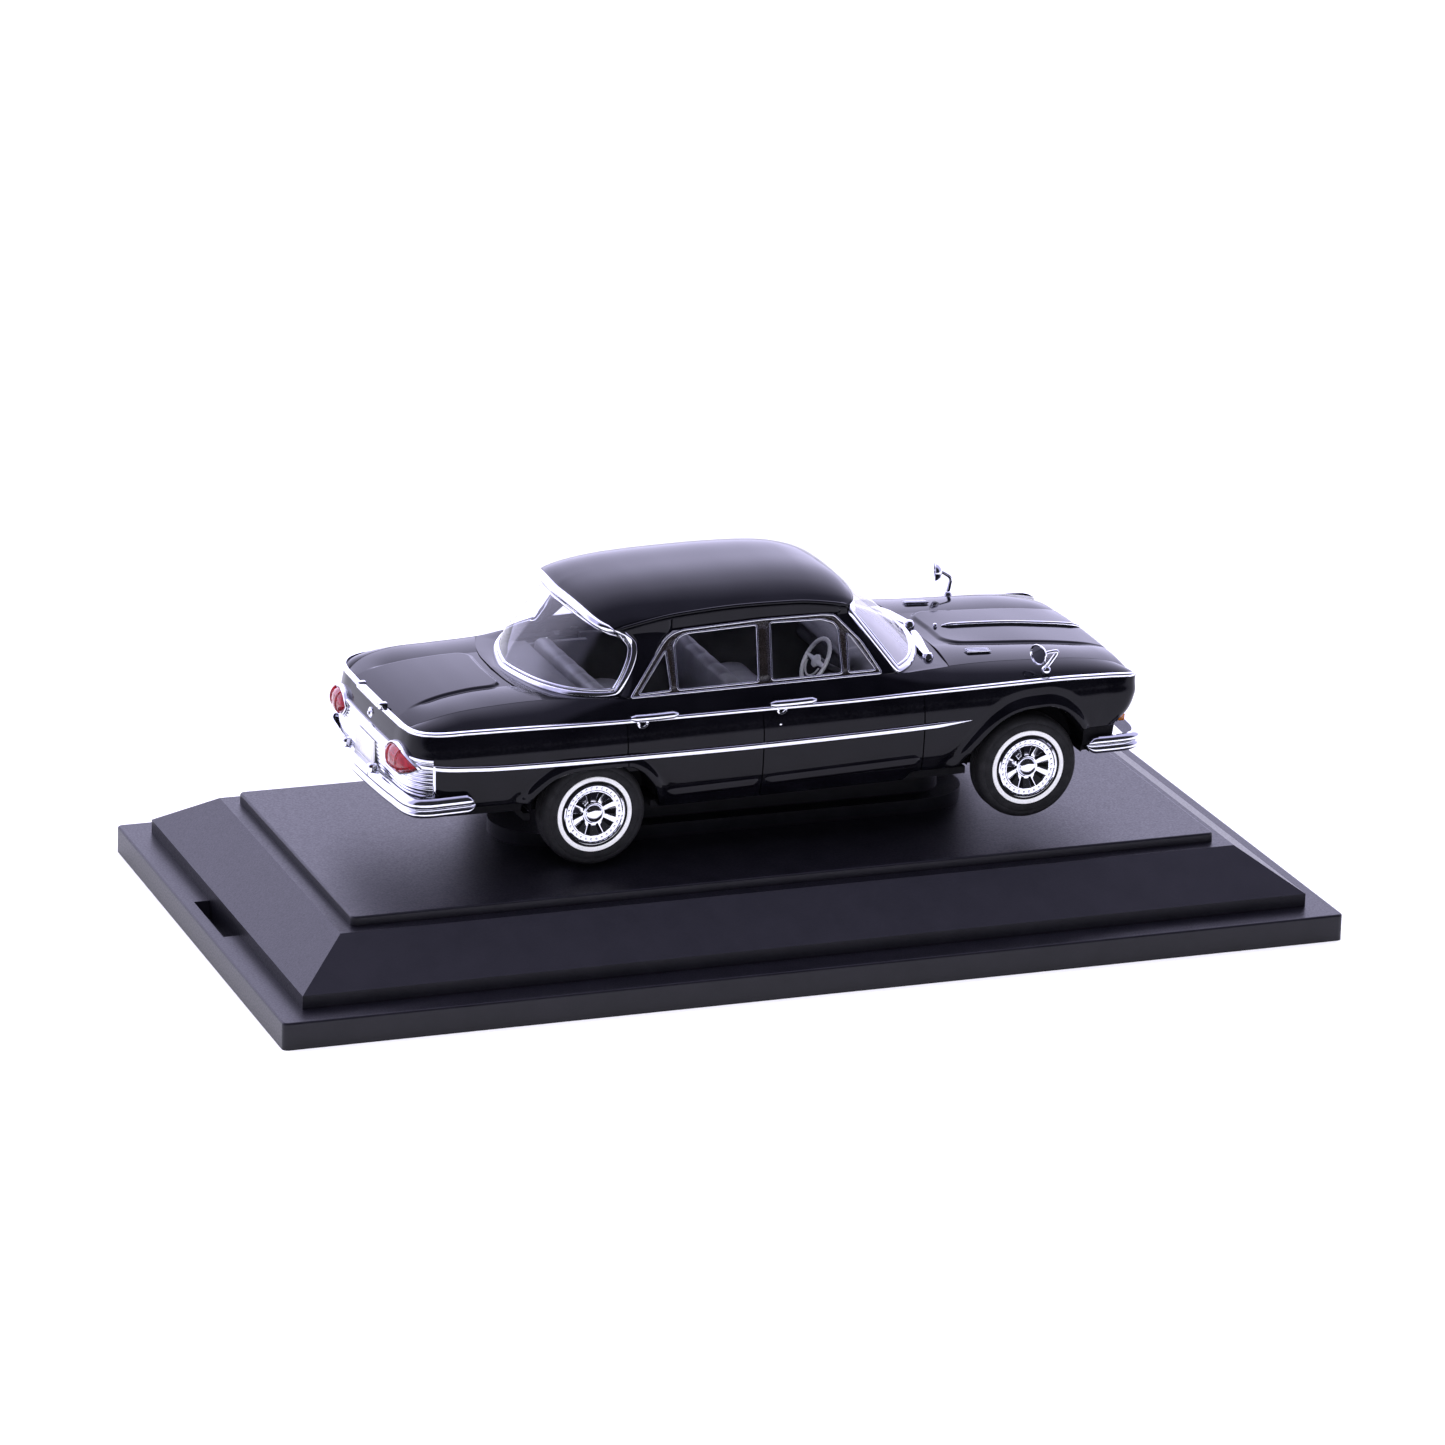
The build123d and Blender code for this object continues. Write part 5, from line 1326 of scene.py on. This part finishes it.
def make_dash():
    """Dashboard with a padded roll, an instrument hood and a ledge for the dials' panel."""
    y = np.linspace(-13.6, 13.6, 100)
    hood = np.exp(-((y + 7.5) / 2.9) ** 4)
    outline = [(12.4, 18.0), (9.6, 18.2), (9.2, 19.0), (9.3, 20.2), (8.9, 20.9), (9.3, 21.6), (10.3, 21.95),
               (12.5, 22.0), (13.9, 21.9), (12.6, 18.2)]
    line = smooth_line(outline, 46)
    rows = []
    for a, b in line:
        lift = 0.5 * hood * soft_step(b, 19.8, 21.5)
        rows.append(row(a - 0.6 * hood * soft_step(b, 20.0, 21.0), y, b + lift))
    grid = np.array(rows)
    return Shape().grid(grid).cap(grid[:, 0]).cap(grid[:, -1], flip=True)


STEERING_CENTRE = np.array([4.0, -7.5, 21.9])
STEERING_AXIS = unit(np.array([-math.sin(math.radians(60.0)), 0.0, math.cos(math.radians(60.0))]))


def make_wheel_rim():
    """Steering wheel: rim with finger rolls, two spokes, a half horn ring and a domed hub."""
    across = np.array([0.0, 1.0, 0.0])
    third = np.cross(STEERING_AXIS, across)

    def around(radius, start, end, count, lift=0.0):
        """Arc about the steering axis."""
        angles = np.linspace(start, end, count)
        return (STEERING_CENTRE + STEERING_AXIS * lift + radius * np.cos(angles)[:, None] * across
                + radius * np.sin(angles)[:, None] * third)

    shape = Shape()
    ring = around(3.2, 0, 2 * math.pi, 145)[:-1]
    shape.tube(ring, 0.29 + 0.02 * np.cos(np.arange(144) * math.pi / 2), 12, closed=True)
    shape.tube(around(2.2, math.pi * 0.08, math.pi * 0.92, 40, 0.1), 0.13, 8)
    for side in (-1, 1):
        line = [STEERING_CENTRE + across * side * r - STEERING_AXIS * d
                for r, d in ((0.5, 0.1), (1.8, 0.15), (3.1, 0.0))]
        shape.tube(smooth_line(line, 16), np.linspace(0.42, 0.24, 16), 10)
    shape.turned([(0.0, 0.4), (0.5, 0.36), (0.85, 0.15), (0.95, -0.15), (0.7, -0.38), (0.0, -0.4)],
                 STEERING_CENTRE, STEERING_AXIS, 36)
    return shape


def make_column():
    """Steering column with a collar and a gear lever."""
    shape = Shape().turned([(0.0, -0.42), (0.62, -0.45), (0.7, -0.8), (0.62, -1.6), (0.5, -1.75), (0.5, -6.3),
                            (0.0, -6.35)], STEERING_CENTRE, STEERING_AXIS, 28)
    start = STEERING_CENTRE - STEERING_AXIS * 1.3
    shape.tube(smooth_line([start, start + [-0.2, 1.0, 0.3], start + [-0.5, 2.0, 0.7]], 12), 0.12, 8)
    return shape


# ================================================================ front end
def make_nose():
    """Painted nose of the left half: lip under the bonnet, lamp sides and the apron behind the bumper."""
    y = np.concatenate([np.linspace(0, BONNET_HALF, 40), np.linspace(15.7, 18.2, 12)])
    edge_x = blend_table(np.minimum(y, BONNET_HALF), BONNET_FRONT)
    edge_x = np.where(y > BONNET_HALF, 46.35 + (y - BONNET_HALF) * 0.05, edge_x)
    edge_z = np.interp(y, [0, 5, 10, BONNET_HALF, 18.2], [19.15, 19.1, 19.0, 18.85, 18.8])
    profile = [(0.0, 0.0), (0.15, -0.35), (0.0, -0.7), (-0.6, -0.95), (-1.6, -1.05)]
    reach = np.interp(y, [0, 17, 18.2], [1, 1, 0.2])
    lip = Shape().grid([row(edge_x + a * reach, y, edge_z + b) for a, b in profile])
    apron = ((46.9, 13.4), (46.8, 12.9), (46.0, 12.4), (45.6, 11.0), (45.2, 9.0))
    lip.grid([row(a - 0.012 * y ** 2, np.minimum(y, 17.6), z) for a, z in apron])
    x_back = np.linspace(43.4, 39.9, 14)
    return lip.grid([row(x_back, 17.6, z) for z in (13.4, 12.6, 11.0, 9.0)])


def make_nose_backing():
    """Dark recess behind the grille and lamps."""
    y = np.linspace(-18.1, 18.1, 40)
    return Shape().grid([row(44.9 - 0.002 * y ** 2, y, z) for z in np.linspace(12.4, 18.6, 8)])


def make_grille_bars():
    """Six curved horizontal bars with fine uprights and a frame, between the lamp pairs and under them."""
    shape = Shape()
    y = np.linspace(-8.8, 8.8, 40)
    for k in range(6):
        strip(shape, row(46.2 - 0.004 * y ** 2 - 0.04 * (6 - k), y, 13.7 + 0.85 * k), (1, 0, 0.1), 0.42, 0.45)
    for y_bar in np.linspace(-8.0, 8.0, 17):
        strip(shape, row(45.7, y_bar, np.linspace(13.3, 18.1, 8)), (1, 0, 0), 0.16, 0.2)
    wide = np.linspace(-17.8, 17.8, 70)
    for z in (13.2, 18.25):
        strip(shape, row(46.5 - 0.006 * wide ** 2, wide, z), (1, 0, 0), 0.5, 0.4, 1.0)
    return shape


LAMP_RIM = [(0.1, -0.6), (0.12, 0.7), (0.0, 0.95), (-0.2, 0.95), (-0.32, 0.7), (-0.45, 0.35)]


def make_lamp_rims():
    """Rolled rims of the left pair of headlamps on a bright backplate."""
    shape = Shape()
    for y in LAMP_Y:
        x = 45.6 - 0.006 * y ** 2
        shape.turned([(LAMP_RADIUS + wider, out) for wider, out in LAMP_RIM] + [(0.0, 0.3)],
                     (x, y, LAMP_Z), (1, 0, 0), 56)
    return shape


def make_lamp_glass():
    """Fluted glasses of the left pair of headlamps."""
    shape = Shape()
    for y in LAMP_Y:
        x = 45.6 - 0.006 * y ** 2
        rows = []
        for r in np.linspace(0.01, 1, 14):
            angles = np.linspace(0, 2 * math.pi, 72, endpoint=False)
            radius = (LAMP_RADIUS - 0.33) * r
            py = radius * np.cos(angles)
            flute = 0.05 * np.sin(py * 9.0) * (1 - r ** 6)
            rows.append(row(x + 0.72 + 0.5 * (1 - r * r) + flute, y + py, LAMP_Z + radius * np.sin(angles)))
        shape.grid(rows, closed=True)
    return shape


def make_plate(x, z_low, z_high, facing):
    """Blank licence plate with a raised border."""
    half = 3.9
    shape = rounded_box((x - 0.2, -half, z_low), (x + 0.2, half, z_high), 0.18)
    face, inner, low, high = x + facing * 0.2, half - 0.35, z_low + 0.35, z_high - 0.35
    ring = [(face, -inner, low), (face, inner, low), (face, inner, high), (face, -inner, high)]
    dense = divide(np.array(ring + ring[:1]), 121)[:-1]
    return shape.tube(dense, 0.09, 6, closed=True)


def make_boot_handle():
    """Ribbed bright handle at the middle of the lid's rear edge."""
    shape = rounded_box((-57.0, -4.6, 20.35), (-55.9, 4.6, 21.05), 0.25)
    for k in range(5):
        strip(shape, row(-57.0, np.linspace(-4.3, 4.3, 20), 20.5 + 0.13 * k), (-1, 0, 0), 0.08, 0.07)
    for side in (-1, 1):
        shape.add(rounded_box((-57.0, side * 4.7 - 0.45, 20.2), (-55.7, side * 4.7 + 0.45, 21.25), 0.3))
    return shape


def make_boot_lock():
    """Round lock with a raised collar in the middle of the tail."""
    return Shape().turned([(0.0, 0.55), (0.25, 0.5), (0.3, 0.25), (0.55, 0.3), (0.75, 0.15), (0.8, -0.3)],
                          (-56.45, 0, 18.3), (-1, 0, 0), 32)


# ================================================================ building the pieces
def make_valances():
    """Dark tucked-under edges below the left rear quarter and the nose, behind and ahead of the wheels."""
    shape = Shape()
    for columns, top, foot in ((np.nonzero(BELT[:, 0] < -41.3)[0], 10.5, 8.9),
                               (np.nonzero(BELT[:, 0] > 38.9)[0], 13.0, 9.8)):
        rows = []
        for z, inward in ((top, 0.45), (foot, 0.9), (foot - 0.1, 2.6)):
            rows.append(wall_point(columns, np.full(len(columns), top)) - BELT_NORMAL[columns] * inward)
            rows[-1][:, 2] = z
        shape.grid(rows)
    return shape


def make_liners():
    """Arched black liners over the left wheels, each closed on its inner side."""
    liner = Shape()
    angles = np.linspace(math.radians(8), math.radians(172), 40)
    profile = ((1.5, 12.4), (6.0, 12.4), (8.9, 12.6), (9.1, 14.0), (9.1, 18.2))
    for end in (1, -1):
        liner.grid([row(HALF_WHEELBASE * end + radius * np.cos(angles), y,
                        np.minimum(TYRE_RADIUS + radius * np.sin(angles), LINER_TOP)) for radius,
                    y in profile])
    return liner


def build_body(paint, shade):
    """Painted body panels, and the dark hollows under and behind them."""
    Shape().grid(make_wall()).both().make("body_sides_and_tail", paint, ["body_shell"], smooth=32.0)
    Shape().grid(make_shoulder()).both().make("fender_and_quarter_tops", paint, smooth=32.0)
    Shape().grid(full_width(make_bonnet())).make("bonnet_panel", paint, smooth=50.0)
    Shape().grid(full_width(make_lid())).make("boot_lid_panel", paint, smooth=50.0)
    Shape().grid(make_tulip()).both().make("rear_deck_panel", paint)
    Shape().grid(make_cowl()).both().make("cowl_panel", paint)
    Shape().grid(full_width(roof_grid())).make("roof_panel", paint, wall=0.6)
    make_pillars().both().make("pillars_and_headers", paint, wall=0.5)
    make_nose().both().make("nose_panel", paint, wall=0.3)
    make_nose_backing().make("nose_recess", shade)
    make_valances().both().make("tucked_valances", shade)
    make_liners().both().make("wheel_arch_liners", shade)


def build_glazing(glass, screen_glass, chrome, bronze):
    """Windscreen, backlight and door glass with their bright surrounds."""
    screen = end_glass(SCREEN_LINE, SCREEN_TOP, PILLAR_FRONT[:3], 0.55)
    backlight = end_glass(WINDOW_LINE[:-1] + [PILLAR_REAR[0]], BACKLIGHT_TOP, PILLAR_REAR, 0.9)
    for name, grid, look in (("windscreen", screen, screen_glass), ("rear_window", backlight, glass)):
        Shape().grid(grid).make(f"{name}_pane", look, [f"{name}_glass"], smooth=60.0)
        border, facing = window_ring(grid)
        ring = Shape()
        ring_strip(ring, border, facing, 0.85, 0.35, 0.25)
        ring_strip(ring, border, facing, 0.3, 0.22, 0.95)
        ring.make(f"{name}_trim", chrome, [f"{name}_surround"])
    for side, word in SIDES:
        panes = Shape()
        for pane in PANES:
            panes.add(pane_mesh(pane))
        make_side_frame().on(side).make(f"side_window_trim_{word}", chrome, [f"side_window_frame_{word}"])
        make_frame_infill().on(side).make(f"side_window_band_{word}", bronze, wall=0.08)
        panes.on(side).make(f"side_panes_{word}", glass, [f"side_glass_{word}"])


def build_trim(chrome, paint):
    """Strips, rails, handles, mirrors, wipers and the other bright pieces."""
    make_belt_strip().make("belt_strip", chrome, ["belt_moulding"])
    make_visor().make("roof_visor", chrome, ["roof_rear_moulding"])
    make_bonnet_spear().make("bonnet_spear", chrome, ["hood_spear"])
    make_louvre().both().make("bonnet_intakes", chrome, ["hood_louvres"])
    handles = make_handle(-26.6, -20.0).add(make_handle(-6.9, -0.4))
    handles.both().make("pull_handles", chrome, ["door_handles"])
    ridges = make_door_ridge(-21.2, -8.2, 9.7, 9.9).add(make_door_ridge(-7.4, 14.9, 10.0, 10.5))
    ridges.both().make("door_ribs", paint)
    make_lock().both().make("door_key_locks", chrome, ["door_locks"])
    wipers = make_wiper((18.6, -12.0, 22.3), (20.6, -1.2, 22.7))
    wipers.add(make_wiper((21.0, 0.9, 22.7), (19.2, 11.0, 22.4))).make("wiper_arms", chrome, ["wipers"])
    for side, word in SIDES:
        make_side_strip().on(side).make(f"lower_strip_{word}", chrome, [f"side_moulding_{word}"])
        make_drip_rail().on(side).make(f"rain_gutter_{word}", paint, [f"drip_rail_{word}"])
        mirror = make_mirror(*MIRROR_ARMS[word]).on(side)
        mirror.make(f"fender_mirror_piece_{word}", chrome, [f"fender_mirror_{word}"])


def build_ends(chrome, red, clear_lens, amber, plate):
    """Bumpers, tail panel, lamps, plates and grille."""
    make_blade(REAR_BLADE, (9.7, 10.75, 12.3)).make("rear_bumper_blade", chrome, ["rear_bumper"])
    make_blade(FRONT_BLADE, (8.7, 9.8, 11.1)).make("front_bumper_blade", chrome, ["front_bumper"])
    rear_horn = rounded_box((-58.8, 5.0, 11.2), (-57.4, 6.2, 13.2), 0.45)
    rear_horn.both().make("rear_horns", chrome, ["rear_overriders"])
    front_horn = rounded_box((47.8, 8.9, 9.6), (49.3, 10.1, 12.2), 0.45)
    front_horn.both().make("front_horns", chrome, ["front_overriders"])
    make_tail_panel().make("tail_brightwork", chrome, ["tail_panel"])
    make_tail_lenses().both().make("tail_lenses", red, ["tail_lamp_lenses"])
    make_tail_bezel().both().make("tail_lamp_rims", chrome, ["tail_lamp_bezels"])
    make_plate(-57.3, 11.7, 15.6, -1).make("rear_plate", plate, ["rear_licence_plate"])
    make_plate(49.5, 8.2, 12.4, 1).make("front_plate", plate, ["front_licence_plate"])
    make_boot_handle().make("boot_grip", chrome, ["boot_handle"])
    make_boot_lock().make("boot_key_lock", chrome, ["boot_lock"])
    make_grille_bars().make("grille_bars", chrome, ["grille"])
    make_lamp_rims().both().make("headlamp_rims", chrome, ["headlamp_bezels"])
    make_lamp_glass().both().make("headlamp_glasses", clear_lens, ["headlamp_lenses"])
    signal = rounded_box((45.2, 13.0, 11.8), (46.3, 16.2, 12.9), 0.3)
    signal.both().make("signal_lenses", amber, ["front_signal_lamps"])


def build_cabin(seat, cabin, pale):
    """Seats, dashboard, steering wheel and column."""
    make_bench(-8.3, 13.2, 21.9, 2.6).make("front_bench", seat, ["front_bench_seat"])
    make_bench(-27.0, 11.8, 22.2, 2.2).make("rear_bench", seat, ["rear_bench_seat"])
    make_dash().make("dashboard_moulding", cabin, ["dashboard"])
    make_wheel_rim().make("steering_wheel_piece", pale, ["steering_wheel"])
    make_column().make("steering_column_piece", cabin, ["steering_column"])


def build_wheels(rubber, white, chrome, shade, steel):
    """Four wheels and two axles, riding on the two turning bodies."""
    for end, word in ENDS:
        body = f"{word}_axle_set"
        make_axle_piece(end).make(f"{word}_axle_bar", steel, [f"{word}_axle"], body)
        bands = make_whitewall(end, 1).add(make_whitewall(end, -1))
        bands.make(f"{word}_white_bands", white, [f"{word}_whitewalls"], body)
        for side, hand in SIDES:
            wheel = f"{word}_{hand}"
            make_tyre(end, side).make(f"{wheel}_tyre_piece", rubber, [f"{wheel}_tyre"], body, smooth=50.0)
            cover = make_cover(end, side)
            cover.make(f"{wheel}_cover_piece", chrome, [f"{wheel}_wheel_cover"], body, smooth=35.0)
            # Dark ring over each cover's dish: painted shade between the spokes.
            make_cover_shade(end, side).make(f"{wheel}_cover_painted_shade", shade, (), body)


def dress_frame(looks):
    """Gives the CAD nodes that stay in view their procedural materials and softened edges."""
    for node, (material, width) in looks.items():
        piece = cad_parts[node]
        piece.data.materials.clear()
        piece.data.materials.append(material)
        rounded = piece.modifiers.new("edges", "BEVEL")
        rounded.width = width * MM
        rounded.segments = 3
        rounded.limit_method = "ANGLE"
        rounded.angle_limit = math.radians(30.0)
        rounded.harden_normals = True


# ================================================================ floor, light and camera
def build_floor():
    """Wide pale floor, lit a little from within so that it stays even."""
    shape = Shape()
    x = np.linspace(-FLOOR_REACH, FLOOR_REACH, 7)
    shape.grid([row(x, y, -0.02) for y in (-FLOOR_REACH, FLOOR_REACH)])
    points = np.array(shape.points) * MM
    mesh = bpy.data.meshes.new("floor")
    mesh.from_pydata(points.tolist(), [], shape.faces)
    floor = bpy.data.objects.new("floor", mesh)
    bpy.context.scene.collection.objects.link(floor)
    paper = new_material("floor_paper", (0.7, 0.7, 0.71), 0.85, specular=0.2)
    glow = paper.node_tree.nodes["Principled BSDF"]
    glow.inputs["Emission Color"].default_value = (1.0, 1.0, 1.0, 1.0)
    glow.inputs["Emission Strength"].default_value = FLOOR_GLOW
    mesh.materials.append(paper)
    for face in mesh.polygons:
        face.use_smooth = True


def area_light(name, place, aim, size, energy):
    """Soft rectangular lamp at a place, pointing at another, in metres, not mirrored in gloss."""
    data = bpy.data.lights.new(name, "AREA")
    data.shape = "RECTANGLE"
    data.size, data.size_y = size
    data.energy = energy
    data.color = LAMP_TINT
    lamp = bpy.data.objects.new(name, data)
    lamp.location = place
    lamp.visible_glossy = False
    lamp.rotation_euler = (Vector(aim) - Vector(place)).to_track_quat("-Z", "Y").to_euler()
    bpy.context.scene.collection.objects.link(lamp)


def build_light():
    """Surroundings dark in front, violet above and bright behind, with three soft lamps."""
    world = bpy.data.worlds.new("surroundings")
    bpy.context.scene.world = world
    world.use_nodes = True
    tree = world.node_tree
    direction = tree.nodes.new("ShaderNodeTexCoord")
    parts = tree.nodes.new("ShaderNodeSeparateXYZ")
    tree.links.new(direction.outputs["Generated"], parts.inputs["Vector"])
    halved = tree.nodes.new("ShaderNodeMath")
    halved.operation = "MULTIPLY_ADD"
    halved.inputs[1].default_value = 0.5
    halved.inputs[2].default_value = 0.5
    tree.links.new(parts.outputs["Y"], halved.inputs[0])
    back = tree.nodes["Background"]
    tree.links.new(ramp(tree, halved.outputs["Value"], GLOW_STOPS), back.inputs["Color"])
    back.inputs["Strength"].default_value = WORLD_STRENGTH
    for lamp in LAMPS:
        area_light(*lamp)
    view = bpy.context.scene.view_settings
    view.view_transform = "Standard"
    view.look = "None"
    view.exposure = 0.0


def build_camera():
    """Long-lens camera at the measured angle, a little above the right rear of the car."""
    turn, tilt, roll = (math.radians(a) for a in (CAMERA_AZIMUTH, CAMERA_ELEVATION, CAMERA_ROLL))
    back = Vector((math.sin(turn) * math.cos(tilt), -math.cos(turn) * math.cos(tilt), math.sin(tilt)))
    right = Vector((0, 0, 1)).cross(back).normalized()
    up = back.cross(right)
    level_right = right * math.cos(roll) + up * math.sin(roll)
    level_up = up * math.cos(roll) - right * math.sin(roll)
    place = (level_right * CAMERA_SHIFT_ASIDE + level_up * CAMERA_RAISE + back * CAMERA_DISTANCE) * MM
    data = bpy.data.cameras.new("camera")
    data.lens = CAMERA_LENS
    data.sensor_width = 36.0
    data.clip_start = 0.01
    data.clip_end = 20.0
    camera = bpy.data.objects.new("camera", data)
    turn_matrix = Matrix((level_right, level_up, back)).transposed().to_4x4()
    camera.matrix_world = Matrix.Translation(place) @ turn_matrix
    bpy.context.scene.collection.objects.link(camera)
    bpy.context.scene.camera = camera


def build_all():
    """Builds every material, most paired with a slot name, and every piece."""
    paint, chrome = (paint_material(), "body_paint"), (chrome_material(), "chrome")
    rubber = rubber_material("tyre_rubber_look", (0.005, 0.005, 0.006), (0.011, 0.011, 0.012)), "tyre_rubber"
    white = rubber_material("white_band_look", (0.72, 0.72, 0.72), (0.86, 0.86, 0.86)), "white_rubber"
    base = plastic_material("plinth_moulding", (0.004, 0.0038, 0.006), (0.006, 0.0056, 0.0085), 0.36, 0.28)
    pad = plastic_material("pad_moulding", (0.003, 0.003, 0.004), (0.005, 0.005, 0.007), 0.42, 0.22)
    chassis = plastic_material("chassis_moulding", (0.0015, 0.0015, 0.002), (0.003, 0.003, 0.004), 0.6, 0.12)
    shade = plastic_material("recess_black", (0.0015, 0.0015, 0.002), (0.003, 0.003, 0.004), 0.7, 0.15)
    bronze = plastic_material("bronze_band", (0.006, 0.0048, 0.0045), (0.014, 0.011, 0.01), 0.25)
    seat = plastic_material("seat_moulding", (0.09, 0.09, 0.1), (0.14, 0.14, 0.155), 0.5)
    cabin = plastic_material("cabin_moulding", (0.03, 0.03, 0.034), (0.05, 0.05, 0.056), 0.5)
    pale = plastic_material("wheel_moulding", (0.5, 0.5, 0.52), (0.62, 0.62, 0.64), 0.3)
    plate = plastic_material("plate_enamel", (0.78, 0.78, 0.78), (0.86, 0.86, 0.86), 0.3)
    steel = chrome_material()
    steel.name = "bare_steel"
    glass = glass_material("clear_glazing_look", (0.75, 0.76, 0.8)), "clear_glazing"
    lamp_glass = lens_material("headlamp_glass", (0.85, 0.86, 0.9), (0.7, 0.72, 0.78)), "clear_glazing"
    red = lens_material("red_lens_look", (0.45, 0.02, 0.03), (0.22, 0.008, 0.012)), "red_lens"
    amber = lens_material("amber_lens_look", (0.75, 0.25, 0.03), (0.5, 0.15, 0.02)), "amber_lens"
    dress_frame({"plinth": (base, 0.12), "stand_off_pad": (pad, 0.25), "base_screws": (steel, 0.05),
                 "chassis_plate": (chassis, 0.1), "chassis_screws": (steel, 0.05),
                 "interior_tub": (cabin, 0.1)})
    build_body(paint, (shade, "chassis_black"))
    build_glazing(glass, (screen_material(), "clear_glazing"), chrome, (bronze, "chrome"))
    build_trim(chrome, paint)
    build_ends(chrome, red, lamp_glass, amber, (plate, "plate_white"))
    build_cabin((seat, "seat_plastic"), (cabin, "interior_plastic"), (pale, "wheel_plastic"))
    build_wheels(rubber, white, chrome, (shade, "chassis_black"), (steel, "steel"))


build_all()
build_floor()
build_light()
build_camera()
